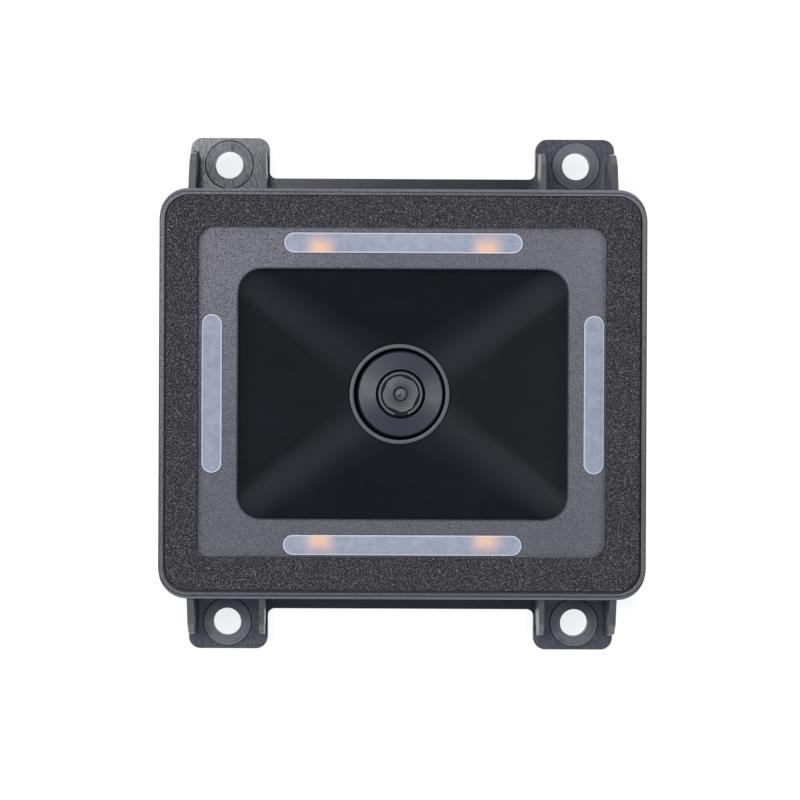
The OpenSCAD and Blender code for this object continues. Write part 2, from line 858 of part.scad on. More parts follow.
module host_connector() {
    key_w = 1.2;
    size = [host_l, host_w, main_z - host_low];
    inside = [host_l - 2 * host_wall, host_w - 2 * host_wall, size.z - host_floor + cut];
    color([0.86, 0.84, 0.78]) difference() {
        block(size, y = -host_y, z = host_low);
        block(inside, y = -host_y, z = host_low - cut);
        for (x = [-host_l / 4, host_l / 4]) {
            translate([x, host_w / 2 - host_y, host_low - cut]) block([key_w, host_w, size.z - host_floor]);
        }
        host_places() block([pin_w, pin_w, body_d], z = 0);
    }
}

module host_connector_pins() {
    low = host_low + pin_up;
    color([0.85, 0.72, 0.35]) host_places() block([pin_w, pin_w, parts_z + pin_proud - low], z = low);
}

// Optics
module image_sensor() {
    color([0.13, 0.13, 0.15]) block(sensor_size, x = lens_shift, z = parts_z);
}

module sensor_glass() {
    color([0.4, 0.5, 0.55, 0.6]) block(sensor_glass_size, x = lens_shift, z = parts_z + sensor_size.z);
}

module ir_filter() {
    color([0.5, 0.75, 0.7, 0.6]) block(filter_size, x = lens_shift, z = web_z - filter_size.z);
}

module lens_holder() {
    face_edge = 0.25;
    color([0.16, 0.16, 0.17]) translate([lens_shift, 0, 0]) difference() {
        union() {
            translate([0, 0, parts_z]) {
                plate(holder_foot, holder_foot, foot_r, foot_h);
                stadium(2 * (ear_x + ear_r), 2 * ear_r, foot_h);
            }
            translate([0, 0, parts_z]) cylinder(d = holder_d, h = lens_z - parts_z);
        }
        block([cavity.x, cavity.y, cavity.z + cut], z = parts_z - cut);
        translate([0, 0, web_z - cut]) cylinder(d = web_bore, h = body_d);
        translate([0, 0, web_z + web_t]) cylinder(d = holder_bore, h = body_d);
        translate([0, 0, lens_z]) rotate_extrude() translate([holder_d / 2, 0]) outer_rounding(face_edge);
        for (x = [-ear_x, ear_x]) {
            translate([x, 0, parts_z - cut]) {
                cylinder(d = small_screw_d + 2 * screw_gap, h = foot_h - ear_roof + cut);
            }
        }
    }
}

module lens_holder_screws() {
    color([0.7, 0.7, 0.72]) for (x = [-ear_x, ear_x]) {
        translate([x + lens_shift, 0, main_z]) mirror([0, 0, 1]) {
            screw(small_screw_d, small_screw_l, small_head_d, small_head_h);
        }
    }
}

// The barrel's face has a thin notched rim, a groove, and a round nose with four flats and the aperture
module lens_barrel() {
    groove_d = barrel_rim_d - 2 * rim_t;
    color([0.2, 0.2, 0.21]) translate([lens_shift, 0, 0]) difference() {
        union() {
            translate([0, 0, barrel_low]) cylinder(d = barrel_d, h = barrel_l - neck_l);
            translate([0, 0, barrel_low]) cylinder(d = barrel_rim_d, h = barrel_l);
        }
        translate([0, 0, barrel_top - rim_groove]) difference() {
            cylinder(d = groove_d, h = cut);
            intersection() {
                cylinder(d = nose_d, h = 2 * cut);
                rotate(nose_turn) block([nose_flats, nose_flats, 2 * cut]);
            }
        }
        rotate(notch_turn) translate([barrel_rim_d / 2, 0, 0]) {
            block([barrel_rim_d - nose_d, notch_w, cut], z = barrel_top - rim_groove);
        }
        translate([0, 0, barrel_low - cut]) cylinder(d = barrel_bore, h = barrel_l - barrel_front + cut);
        translate([0, 0, barrel_low]) cylinder(d = pupil_d, h = barrel_l + cut);
        translate([0, 0, barrel_top - rim_t]) {
            cylinder(r1 = pupil_d / 2, r2 = pupil_d / 2 + rim_t + cut, h = rim_t + cut);
        }
    }
}

// A lens with one domed side: its edge, half as high as the lens, is a cylinder, its dome a slice of a ball
module lens_glass(t, ball_r) {
    d = barrel_bore - 2 * lens_gap;
    intersection() {
        cylinder(d = d, h = t);
        translate([0, 0, t / 2 - sqrt(ball_r * ball_r - d * d / 4)]) sphere(r = ball_r);
    }
}

module front_lens() {
    color([0.6, 0.68, 0.75, 0.5]) translate([lens_shift, 0, front_lens_z]) lens_glass(front_lens_t, 5.5);
}

module lens_spacer() {
    color([0.09, 0.09, 0.1]) translate([lens_shift, 0, spacer_z]) difference() {
        cylinder(d = barrel_bore - 2 * lens_gap, h = spacer_t);
        translate([0, 0, -cut]) cylinder(d = spacer_bore, h = spacer_t + 2 * cut);
    }
}

module rear_lens() {
    color([0.6, 0.68, 0.75, 0.5]) translate([lens_shift, 0, rear_lens_z]) lens_glass(rear_lens_t, 6.5);
}

module lens_retainer() {
    color([0.09, 0.09, 0.1]) translate([lens_shift, 0, rear_lens_z - retainer_t]) difference() {
        cylinder(d = barrel_bore - 2 * lens_gap, h = retainer_t);
        translate([0, 0, -cut]) cylinder(d = barrel_bore - 2 * retainer_w, h = retainer_t + 2 * cut);
    }
}

front_bezel();
foam_gasket();
optical_hood();
housing();
rear_cover();
case_screws();
light_guide_top();
light_guide_bottom();
light_guide_left();
light_guide_right();
led_board();
illumination_leds();
status_leds();
led_driver();
led_resistors();
led_board_screws();
board_link_header();
board_link_pins();
board_link_socket();
main_board();
main_board_screws();
decoder_chip();
memory_chip();
regulator();
crystal();
power_inductor();
chip_capacitors();
buzzer();
host_connector();
host_connector_pins();
image_sensor();
sensor_glass();
ir_filter();
lens_holder();
lens_holder_screws();
lens_barrel();
front_lens();
lens_spacer();
rear_lens();
lens_retainer();
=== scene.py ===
# %% [markdown]
# # Dressing a barcode scan engine
# The real object is a small black module that looks out of a terminal: a plastic case with four lugs,
# a foam frame stuck on its face, four milky light guides, and a lens at the bottom of a black funnel.
# The solids come from a packed CAD model. This lesson keeps them as the frame, and dresses them: it
# rebuilds the pieces whose look depends on their shape, and gives every surface a procedural finish.

import math
from contextlib import contextmanager

import bmesh
import bpy
from mathutils import Matrix, Vector


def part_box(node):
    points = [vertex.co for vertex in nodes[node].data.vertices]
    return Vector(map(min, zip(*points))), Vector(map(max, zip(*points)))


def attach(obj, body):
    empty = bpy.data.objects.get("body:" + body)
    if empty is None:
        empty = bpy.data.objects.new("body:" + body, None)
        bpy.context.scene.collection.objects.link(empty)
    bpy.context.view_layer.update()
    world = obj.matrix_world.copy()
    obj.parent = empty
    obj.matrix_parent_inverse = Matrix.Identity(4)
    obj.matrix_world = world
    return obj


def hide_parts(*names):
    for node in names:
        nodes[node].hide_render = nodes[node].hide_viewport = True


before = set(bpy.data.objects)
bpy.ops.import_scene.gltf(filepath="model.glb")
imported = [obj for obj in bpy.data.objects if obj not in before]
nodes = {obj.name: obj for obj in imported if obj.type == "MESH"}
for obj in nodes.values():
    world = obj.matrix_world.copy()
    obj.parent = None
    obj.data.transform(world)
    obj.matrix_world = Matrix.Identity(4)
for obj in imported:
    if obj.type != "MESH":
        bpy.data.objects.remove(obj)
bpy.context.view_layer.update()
MM = 0.001

# %% [markdown]
# ## The camera
# The photograph looks straight down on the face, from about half a metre away, with a long lens. The
# holes in the lugs are 14 mm lower than the front face, so they tell how far away the camera is, and
# the sides that show at the left and at the top tell where it stands. The camera is built from those
# two points, because a tracking constraint is unsteady when it looks straight down.

# %% Camera
camera_place = Vector((-5.9, 1.48, 564)) * MM
camera_target = Vector((-0.348, -0.717, 26)) * MM
camera_roll = math.radians(0.26)

back = (camera_place - camera_target).normalized()
right = Vector((0, 1, 0)).cross(back).normalized()
up = back.cross(right)
right, up = (
    right * math.cos(camera_roll) + up * math.sin(camera_roll),
    up * math.cos(camera_roll) - right * math.sin(camera_roll),
)
camera = bpy.data.objects.new("camera", bpy.data.cameras.new("camera"))
camera.matrix_world = Matrix.Translation(camera_place) @ Matrix((right, up, back)).transposed().to_4x4()
camera.data.lens = 195.5
camera.data.sensor_width = 36
camera.data.clip_start = 0.01
bpy.context.scene.collection.objects.link(camera)
bpy.context.scene.camera = camera
bpy.context.scene.view_settings.view_transform = "Standard"
print("camera stands", round((camera_place - camera_target).length, 3), "m away")

# %% [markdown]
# ## Sums on sockets
# A finish is a picture drawn by sums: where am I on the piece, how far is that from an edge, how much
# noise is there. Written as nodes, each sum takes several lines. So one small class wraps a socket and
# answers Python's operators with Math nodes.


# %% Values
class Value:
    """One number of a shader. Python's operators add the Math nodes."""

    def __init__(self, finish, socket):
        self.finish = finish
        self.socket = socket

    def math(self, operation, *numbers):
        inputs = dict(enumerate(numbers))
        return self.finish.add("ShaderNodeMath", {"operation": operation}, inputs)

    def __add__(self, other):
        return self.math("ADD", self, other)

    def __sub__(self, other):
        return self.math("SUBTRACT", self, other)

    def __rsub__(self, other):
        return self.math("SUBTRACT", other, self)

    def __mul__(self, other):
        return self.math("MULTIPLY", self, other)

    def __abs__(self):
        return self.math("ABSOLUTE", self)

    __radd__ = __add__
    __rmul__ = __mul__

    def least(self, other):
        return self.math("MINIMUM", self, other)

    def most(self, other):
        return self.math("MAXIMUM", self, other)

    def root(self):
        return self.math("SQRT", self)

    def ramp(self, low, high, start=0.0, end=1.0):
        """Goes smoothly from start to end while the number goes from low to high."""
        settings = {"interpolation_type": "SMOOTHSTEP"}
        inputs = {"Value": self, "From Min": low, "From Max": high, "To Min": start, "To Max": end}
        return self.finish.add("ShaderNodeMapRange", settings, inputs)


print("sums on a value:", [name for name in vars(Value) if not name.startswith("_")])

# %% [markdown]
# A second class holds the node tree of one material. Its first method makes a node of any kind, and the
# others are what the finishes here share: places and distances in millimetres, noises, mixes and relief.
# The trees could be drawn in the shader editor too, but a line of sums is easier to read and to change.


# %% Finishes
class Finish:
    """A node tree that is written in Python."""

    def __init__(self, tree):
        self.tree = tree
        tree.nodes.clear()

    def add(self, kind, settings=None, inputs=None, output=0):
        """A node of any kind: its settings come first, then the values or links of its sockets."""
        node = self.tree.nodes.new(kind)
        for name, value in (settings or {}).items():
            setattr(node, name, value)
        for name, value in (inputs or {}).items():
            if isinstance(value, Value):
                self.tree.links.new(value.socket, node.inputs[name])
            else:
                node.inputs[name].default_value = value
        return Value(self, node.outputs[output]) if node.outputs else node

    def place(self, centre=(0, 0, 0), squeeze=(1, 1, 1)):
        """Where a point of the piece is, in millimetres from centre."""
        spot = self.add("ShaderNodeTexCoord", output="Object")
        inputs = {
            "Vector": spot,
            "Location": [-c * s for c, s in zip(centre, squeeze)],
            "Scale": [s / MM for s in squeeze],
        }
        return self.add("ShaderNodeMapping", {"vector_type": "POINT"}, inputs)

    def parts(self, vector):
        """The x, y and z of a vector."""
        node = self.add("ShaderNodeSeparateXYZ", inputs={"Vector": vector}).socket.node
        return [Value(self, output) for output in node.outputs]

    def from_lug_holes(self):
        """How far a point is from the axis of the nearest lug hole, in millimetres."""
        x, y = self.parts(self.place())[:2]
        x, y = abs(x) - HOLE_X, abs(y) - HOLE_Y
        return (x * x + y * y).root()

    def outside(self, x, y, width, height, radius):
        """How far a point is outside a rounded rectangle round the origin, in millimetres."""
        x = (abs(x) - (width / 2 - radius)).most(0)
        y = (abs(y) - (height / 2 - radius)).most(0)
        return (x * x + y * y).root() - radius

    def noise(self, vector, size, detail=2.0, roughness=0.5):
        """Soft noise from 0 to 1, with spots about size millimetres wide."""
        inputs = {"Vector": vector, "Scale": 1 / size, "Detail": detail, "Roughness": roughness}
        return self.add("ShaderNodeTexNoise", {"normalize": True}, inputs)

    def cells(self, vector, size):
        """The distance to the nearest of many scattered points, size millimetres apart."""
        inputs = {"Vector": vector, "Scale": 1 / size}
        return self.add("ShaderNodeTexVoronoi", {"feature": "F1"}, inputs)

    def mix(self, share, first, second):
        """A colour between two others."""
        inputs = {0: share, 6: first, 7: second}
        return self.add("ShaderNodeMix", {"data_type": "RGBA"}, inputs, output=2)

    def blend(self, share, first, second):
        """A number between two others."""
        return self.add("ShaderNodeMix", {"data_type": "FLOAT"}, {0: share, 2: first, 3: second})

    def relief(self, height, depth):
        """A normal that follows height, where 1 stands depth millimetres proud."""
        inputs = {"Height": height, "Distance": depth * MM, "Strength": 1.0}
        return self.add("ShaderNodeBump", {}, inputs)

    def surface(self, **inputs):
        """The finished surface. Underscores in the names stand for spaces."""
        named = {name.replace("_", " "): value for name, value in inputs.items()}
        shader = self.add("ShaderNodeBsdfPrincipled", {}, named)
        self.add("ShaderNodeOutputMaterial", {}, {"Surface": shader})


def new_finish(name):
    """A new material, and its node tree ready to be written."""
    material = bpy.data.materials.new(name)
    material.use_nodes = True
    return material, Finish(material.node_tree)


print("a finish is made of:", [name for name in vars(Finish) if not name.startswith("_")])

# %% [markdown]
# ## Places on the solids
# Some marks belong to one place on the case: its screw seats are paler and painted shade darkens the
# feet of its gussets. Such marks could be painted by hand, but then they would stay behind when the
# model changes. So each is a sum on places in millimetres: the outer ones come from the boxes of the
# solids, and the lugs, holes and gussets are at the sizes of the CAD model. The case is the same on both
# sides, so one number serves for the left and the right, or for the top and the bottom.


# %% Places
class Box:
    """The box of a CAD node in millimetres: its low and high corner, its middle and its size."""

    def __init__(self, node):
        self.low, self.high = [[round(c / MM, 3) for c in corner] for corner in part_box(node)]
        self.middle = [(a + b) / 2 for a, b in zip(self.low, self.high)]
        self.size = [b - a for a, b in zip(self.low, self.high)]


CASE_X, LUG_Y, CASE_TOP = Box("housing").high
CASE_Y = Box("rear_cover").high[1]
FACE_Z = Box("foam_gasket").low[2]
STRIP_Y, LUG_TOP = CASE_Y + 1.85, FACE_Z - 14
LUG_X, LUG_IN = 21.9, 16.9
HOLE_X, HOLE_Y, SEAT_R = 22, 29, 3.0
INNER_GUSSET, OUTER_GUSSET, GUSSET_END = 17.4, 26.3, 29.6
print("the case ends at", (CASE_X, CASE_Y), "the lugs at", LUG_Y, "their tops at", LUG_TOP)

# %% [markdown]
# ## Floor and light
# A product like this is photographed on a white table inside a white tent. The table shows white,
# with a faint shadow round the case and a light grey under the holes of the lugs. Both are painted shade
# in part: a mask lets the lit table, with its real shadow, show only there, and most under the holes.
# Light comes from a big soft panel at each side, and from one above the upper left, which is what makes
# the upper left lug shine. The tent could be a big box of cloth, but a world that changes with the height
# of the sky has no edges to mirror. It is bright overhead and dim near the table, so flat faces get an
# even light and upright ones fall off into the dark.

# %% Floor
bpy.ops.object.select_all(action="DESELECT")
bpy.ops.mesh.primitive_plane_add(size=4, location=(0, 0, -0.05 * MM))
floor = bpy.context.object
floor.name = "table"
table_white, finish = new_finish("table_white")
lit = finish.add("ShaderNodeBsdfDiffuse", {}, {"Color": (0.9, 0.9, 0.9, 1)})
glow = finish.add("ShaderNodeEmission", {}, {"Color": (1, 1, 1, 1), "Strength": 1.12})
x, y = finish.parts(finish.place())[:2]
from_case = (abs(x) - CASE_X).most(abs(y) - STRIP_Y)
from_lugs = (abs(abs(x) - LUG_X) - (LUG_X - LUG_IN)).most(abs(y) - LUG_Y)
# Painted shade in part: this mask lets the lit table, with its real shadow, show near the case, and most in
# a disc under each lug hole.
shade = from_case.least(from_lugs).ramp(-0.5, 2.5, 0.25, 0.04)
shade = shade.most(finish.from_lug_holes().ramp(1.5, 4.5, 0.36, 0.04))
both = finish.add("ShaderNodeMixShader", {}, {0: shade, 1: glow, 2: lit})
path = finish.add("ShaderNodeLightPath").socket.node
mirrored = Value(finish, path.outputs["Is Glossy Ray"])
eye = Value(finish, path.outputs["Is Camera Ray"])
shown = finish.add("ShaderNodeMixShader", {}, {0: eye.most(mirrored), 1: lit, 2: both})
finish.add("ShaderNodeOutputMaterial", {}, {"Surface": shown})
floor.data.materials.append(table_white)
print("table:", tuple(round(v, 2) for v in floor.dimensions))

# %% Tent
world = bpy.data.worlds.new("tent")
world.use_nodes = True
bpy.context.scene.world = world
finish = Finish(world.node_tree)
direction = finish.add("ShaderNodeTexCoord", output="Generated")
height = finish.parts(direction)[2]
tent = height.ramp(0.56, 0.72, 0.12, 0.72)
path = finish.add("ShaderNodeLightPath").socket.node
straight = Value(finish, path.outputs["Is Camera Ray"])
tone = straight * (1 - tent) + tent
tint = finish.mix(straight, (0.84, 0.93, 1.16, 1), (1, 1, 1, 1))
sky = finish.add("ShaderNodeBackground", {}, {"Color": tint, "Strength": tone})
finish.add("ShaderNodeOutputWorld", {}, {"Surface": sky})
print("tent: bright overhead, dim near the table")


# %% Soft panels
def soft_panel(name, place, size, brightness):
    """A square light that looks at the object. A brightness of 1 is as bright as white paper."""
    light = bpy.data.lights.new(name, "AREA")
    light.shape = "SQUARE"
    light.size = size
    light.energy = brightness * math.pi * size * size
    panel = bpy.data.objects.new(name, light)
    panel.matrix_world = Vector(place).to_track_quat("Z", "Y").to_matrix().to_4x4()
    panel.location = place
    bpy.context.scene.collection.objects.link(panel)
    return panel


panels = [
    soft_panel("left_panel", (-0.47, 0.05, 0.86), 0.36, 4.6),
    soft_panel("right_panel", (0.47, -0.02, 0.86), 0.36, 4.2),
    soft_panel("upper_panel", (-0.15, 0.166, 1.0), 0.26, 13.0),
]
print("panels:", [p.name for p in panels])

# %% [markdown]
# ## Moulded plastics
# The case, its cover and its face are black plastic that fills a steel mould, so they carry the
# mould's texture: a fine spark-eroded grain on the face, and a smoother skin with faint flow marks on
# the case. An even colour would look like a drawing. Three noises of very different size, one for
# the grain, one for the gloss and one for the tone, are enough to look like plastic from any side.


# %% Moulded plastic
def moulded(
    name, colour, grain, depth, shine, spread=0.06, fleck=0.25, gloss=0.5, streak=0.5, marks=None
):
    """Moulded plastic. The grain is that many millimetres wide and the relief that deep. The roughness
    is shine, give or take spread, and the tone varies by fleck. Gloss is the strength of the
    highlights, a low streak draws the grain out, and marks is a function that adds marks of its own."""
    material, finish = new_finish(name)
    spot = finish.place()
    fine = finish.noise(finish.place(squeeze=(1, streak, streak)), grain, 3.0, 0.7)
    flow = finish.noise(finish.place(squeeze=(0.5, 1, 0.5)), 5.0, 3.0, 0.55)
    patch = finish.noise(spot, 1.6, 2.0, 0.5)
    dark = tuple(c * (1 - fleck) for c in colour[:3]) + (1,)
    pale = tuple(c * (1 + fleck) for c in colour[:3]) + (1,)
    tone = finish.mix((fine * 0.7 + flow * 0.3).ramp(0.34, 0.66), dark, pale)
    rough = (patch - 0.5) * (2 * spread) + shine
    if marks:
        tone, rough = marks(finish, tone, rough)
    finish.surface(
        Base_Color=tone,
        Roughness=rough,
        Specular_IOR_Level=gloss,
        Normal=finish.relief(fine + patch * 0.5 + flow * 2.0, depth),
    )
    return material


# %% [markdown]
# The case has marks on top of its plastic. Its lugs are smoother than its walls, and their screw seats
# are paler in rings, less so on the side towards the wall, which is painted shade. Painted shade also
# draws a dark line round each seat and darkens the corners, the feet and walls of the gussets and the
# strips between the lugs. A picture could be laid over the case, but it would be stretched on the walls.
# So each mark is a mask: a sum on the distance to a hole, a gusset or a wall, which is high on the mark
# and 0 beside it.

# %% Marks of the case
# Near black, for painted shade and for the painted dark reflection in the lens.
PAINTED_DARK = (0.002, 0.002, 0.002, 1)


def case_marks(finish, tone, rough):
    """Smooth lugs with paler screw seats, and painted shade on the seats' wall side, round the seats, in the
    corners, at the feet and walls of the gussets and on the edge strips.
    """
    spot = finish.place()
    x, y, z = finish.parts(spot)
    wide, high = abs(x), abs(y)
    from_hole = finish.from_lug_holes()
    tops = z.ramp(LUG_TOP - 0.1, LUG_TOP - 0.02) * z.ramp(LUG_TOP + 0.4, LUG_TOP + 0.5, 1.0, 0.0)
    off_wall = high.ramp(CASE_Y - 0.05, CASE_Y + 0.05)

    rings = finish.noise(finish.add("ShaderNodeCombineXYZ", {}, {"X": from_hole}), 0.25, 2.0, 0.6)
    patches = finish.noise(spot, 1.3, 3.0, 0.6)
    seat = from_hole.ramp(SEAT_R - 0.1, SEAT_R + 0.08, 1.0, 0.0) * tops
    # The seats are paler in rings and patches. Their side towards the case wall keeps less of it, as painted
    # shade.
    seat_pattern = (rings * 0.5 + patches * 0.5).ramp(0.38, 0.6, 0.3, 1.0)
    pale_seat = seat * high.ramp(26.8, 29.8, 0.15, 1.0) * seat_pattern
    tone = finish.mix(pale_seat, tone, (0.155, 0.15, 0.168, 1))

    # Painted shade: a dark line round each seat, dark strips between the lugs (darker at the bottom), dark
    # corners, dark gusset feet and darker gusset walls.
    seat_edge_shade = abs(from_hole - (SEAT_R + 0.04)).ramp(0.03, 0.12, 0.8, 0.0)
    strips = wide.ramp(LUG_IN - 0.3, LUG_IN + 0.1, 1.0, 0.0) * off_wall * y.ramp(-1, 1, 0.62, 0.32)
    corners = abs(wide - (LUG_X - 0.1)).ramp(3.7, 4.02, 0.0, 0.85) * high.ramp(29.6, 30.4, 1.0, 0.0)
    corners = corners * z.ramp(LUG_TOP + 0.03, LUG_TOP + 0.06, 1.0, 0.0)
    inner_feet = abs(wide - INNER_GUSSET).ramp(0.38, 0.6, 0.6, 0.0)
    outer_feet = abs(wide - OUTER_GUSSET).ramp(0.46, 0.7, 0.6, 0.0)
    feet = inner_feet.most(outer_feet) * high.ramp(GUSSET_END - 0.3, GUSSET_END, 1.0, 0.0)
    gussets = z.ramp(LUG_TOP + 0.5, LUG_TOP + 1.5) * off_wall
    painted_shade = (seat_edge_shade.most(strips).most(corners).most(feet) * tops).most(gussets * 0.25)

    streaks = finish.noise(finish.place(squeeze=(1, 0.3, 1)), 0.28, 2.0, 0.6).ramp(0.42, 0.66, 0.0, 0.15)
    dull = (streaks + seat * 0.18 + seat_edge_shade.most(feet) * 0.5) * wide.ramp(LUG_IN, LUG_IN + 0.1)
    smooth = (wide.ramp(LUG_IN - 0.3, LUG_IN + 0.1, 0.19, 0.26) - dull) * tops
    return finish.mix(painted_shade, tone, PAINTED_DARK), rough - smooth


# %% [markdown]
# Where two walls of the funnel meet, each lights the other, so a soft pale crease runs from each corner
# of the window to the lens. Bounced light alone gives less of it than the photograph shows, so the
# creases are a paler tone too, which fades with the distance to the two diagonals.


# %% Creases of the funnel
def funnel_marks(finish, tone, rough):
    """Painted light on the creases at the four corners of the funnel, and painted shade on the walls at its
    sides.
    """
    x, y = finish.parts(finish.place())[:2]
    beside_crease = abs(x) * 0.582 - abs(y) * 0.813
    crease = 1 - abs(beside_crease).ramp(0.3, 3.0)
    crease = crease * (x * y).ramp(-20, 20, 0.26, 0.5)
    tone = finish.mix(crease, tone, (0.036, 0.036, 0.04, 1))
    # Painted shade: the side walls, away from the creases, are a little darker.
    return finish.mix(beside_crease.ramp(0, 3, 0.0, 0.18), tone, PAINTED_DARK), rough


# %% Moulded finishes
finishes = {
    "case_plastic": moulded(
        "case_plastic",
        (0.072, 0.071, 0.084, 1),
        grain=0.18,
        depth=0.0015,
        shine=0.34,
        spread=0.02,
        fleck=0.45,
        gloss=0.32,
        marks=case_marks,
    ),
    "hood_black": moulded(
        "hood_black",
        (0.014, 0.0145, 0.0172, 1),
        grain=0.12,
        depth=0.008,
        shine=0.34,
        spread=0.04,
        gloss=0.1,
        streak=1,
        marks=funnel_marks,
    ),
    "lens_black": moulded(
        "lens_black", (0.018, 0.018, 0.02, 1), grain=0.1, depth=0.006, shine=0.34, spread=0.04
    ),
    "chip_epoxy": moulded(
        "chip_epoxy", (0.016, 0.016, 0.018, 1), grain=0.05, depth=0.006, shine=0.55, streak=1
    ),
    "socket_resin": moulded(
        "socket_resin", (0.62, 0.58, 0.48, 1), grain=0.2, depth=0.006, shine=0.42, spread=0.05, fleck=0.05
    ),
    "capacitor_body": moulded(
        "capacitor_body", (0.26, 0.16, 0.08, 1), grain=0.08, depth=0.004, shine=0.45, spread=0.05, fleck=0.12
    ),
}
print("moulded:", sorted(finishes))

# %% [markdown]
# The face that holds the light guides has the coarsest grain, about a seventh of a millimetre, with
# points that catch the light. Grain could be pressed into the mesh, but points so small would take
# millions of faces, so they are a height in the finish: cells of a Voronoi pattern and a fine noise.
# The face's grain points are paler as painted light, and painted light also makes the face paler towards
# its corners, at the upper left and on its lip. Painted shade darkens it towards the bottom and draws a dark
# line inside its rim.

# %% Face grain
RIM_Z, LIP_Z = Box("front_bezel").high[2], FACE_Z - 1
STEP_SHADE_W, STEP_SHADE_H, STEP_SHADE_R = 58.6, 48.6, 2.9
face_grain, finish = new_finish("bezel_grain")
spot = finish.place()
bumps = finish.cells(spot, 0.15)
fine = finish.noise(spot, 0.11, 3.0, 0.7)
flow = finish.noise(spot, 7.0, 2.0, 0.5)
height = (1 - bumps) * 0.35 + fine * 0.65
x, y, z = finish.parts(spot)
# Masks for painted light at the corners, at the upper left and on the lip.
corner = abs(x).ramp(11, 26) * abs(y + 1).ramp(6, 20) * y.ramp(-18, 18, 0.5, 1.0)
upper_left_light = (y - x).ramp(18, 42)
lip = z.ramp(LIP_Z + 0.02, LIP_Z + 0.1, 1.0, 0.0) * z.ramp(LIP_Z - 0.1, LIP_Z - 0.02)
lip_light = abs(x).ramp(29.7, 29.8, 0.5, -0.5) + y.ramp(-24, 24, 0.3, 0.0)
contrast = upper_left_light * 1.5 + 0.8
# Painted light and shade: the grain's high points are paler, the corners, upper left and lip lighter, and
# the face darker towards the bottom.
tone = ((height * 0.94 + flow * 0.06).ramp(0.36, 0.66) - 0.5) * contrast + 0.43
tone = tone + corner * 0.22 + upper_left_light * 0.32 + y.ramp(-20, 2, -0.2, -0.04) + lip * lip_light
# Painted shade: a dark line on the wall between the lip and the rim.
rim_wall = z.ramp(LIP_Z + 0.05, LIP_Z + 0.1) * z.ramp(RIM_Z - 0.07, RIM_Z - 0.01, 1.0, 0.0)
step_shade = finish.outside(x, y, STEP_SHADE_W, STEP_SHADE_H, STEP_SHADE_R).ramp(-0.05, 0.0) * rim_wall
grey = finish.mix(tone, (0.052, 0.049, 0.057, 1), (0.202, 0.189, 0.215, 1))
finish.surface(
    Base_Color=finish.mix(step_shade * 0.9, grey, PAINTED_DARK),
    Roughness=fine.ramp(0.3, 0.7, 0.62, 0.44),
    Normal=finish.relief(height, 0.05),
)
finishes["bezel_grain"] = face_grain
print("face grain: cells of 0.15 mm")

# %% [markdown]
# ## Foam
# The gasket is cut from open-cell foam: a web of thin walls round pores of a fifth of a millimetre.
# Here and there a wall lies flat and glints. Modelled pores would be far too many, so the larger ones
# are pressed into the mesh later on, and the small ones are this finish: Voronoi cells, dark in the
# middle as painted shade, and painted glints where another noise is high.

# %% Foam finish
foam_black, finish = new_finish("foam")
spot = finish.place()
warp = finish.noise(spot, 0.9, 2.0, 0.5)
pores = finish.cells(spot, 0.2)
web = finish.noise(spot, 0.11, 3.0, 0.7)
# Painted shade: the pores are dark in their middles.
walls = (pores * 0.35 + web * 0.65).ramp(0.41, 0.58)
# Painted highlights: pale glints on the walls.
painted_glints = finish.noise(spot, 0.14, 1.0, 0.4).ramp(0.66, 0.76)
tone = finish.mix(walls * 0.85 + warp * 0.15, (0.0045, 0.0042, 0.0043, 1), (0.09, 0.085, 0.087, 1))
finish.surface(
    Base_Color=finish.mix(painted_glints * walls, tone, (0.42, 0.42, 0.42, 1)),
    Roughness=walls.ramp(0.0, 1.0, 0.95, 0.75),
    Normal=finish.relief(walls, 0.05),
)
finishes["foam"] = foam_black
print("foam: pores of a fifth of a millimetre")

# %% [markdown]
# ## Milky light guides
# A light guide is clear plastic with a frosted face. It looks like skimmed milk: pale and bluish, with
# a painted highlight along its rounded edge and tiny bubbles near its ends. Two white light sources lie
# under each of the long ones, and the orange of their phosphor shows through as a soft glow. Light that
# really wanders through plastic is slow to render and is lost when the model is exported. So the glow
# is a colour in the plastic, with a mask made from the distance to the two places.

# %% Guide finish
FLANGE, LAMP_X = 0.6, 10.3
long_box, short_box = Box("light_guide_top"), Box("light_guide_right")
GUIDE_X, GUIDE_Y = short_box.middle[0], long_box.middle[1]
GUIDE_LONG, GUIDE_SHORT, GUIDE_W = (
    size - 2 * FLANGE for size in (long_box.size[0], short_box.size[1], long_box.size[1])
)

frosted, finish = new_finish("frosted_guide")
x, y = finish.parts(finish.place())[:2]
long_guide = abs(y).ramp(17.2, 17.25)
off_long, off_short = abs(y) - GUIDE_Y, abs(x) - GUIDE_X
inside = finish.blend(
    long_guide,
    finish.outside(off_short, y, GUIDE_W, GUIDE_SHORT, GUIDE_W / 2),
    finish.outside(x, off_long, GUIDE_LONG, GUIDE_W, GUIDE_W / 2),
)
# Painted highlight: a lighter line along the rounded edge.
edge_highlight = inside.ramp(-0.26, -0.12)
from_lamp = abs(abs(x) - LAMP_X)
glow = from_lamp.ramp(0.5, 2.5, 1.0, 0.0) * off_long.ramp(-0.5, 1.15, 1.0, 0.25) * long_guide
core = from_lamp.ramp(0.2, 1.6, 1.0, 0.0) * off_long.ramp(-0.6, 0.7, 1.0, 0.0)
cloud = finish.noise(finish.place(), 1.4, 3.0, 0.6)
streak = finish.noise(finish.place(squeeze=(0.6, 1, 1)), 0.28, 2.0, 0.6)
bubbles = finish.cells(finish.place(), 0.62).ramp(0.1, 0.24, 1.0, 0.0)
ends = (abs(x).ramp(12.0, 14.2) * long_guide).most(abs(y).ramp(7.4, 9.3) * (1 - long_guide))
thick = (cloud * 0.5 + streak * 0.5).ramp(0.3, 0.7)
milk = finish.mix(thick, (0.268, 0.286, 0.345, 1), (0.372, 0.388, 0.448, 1))
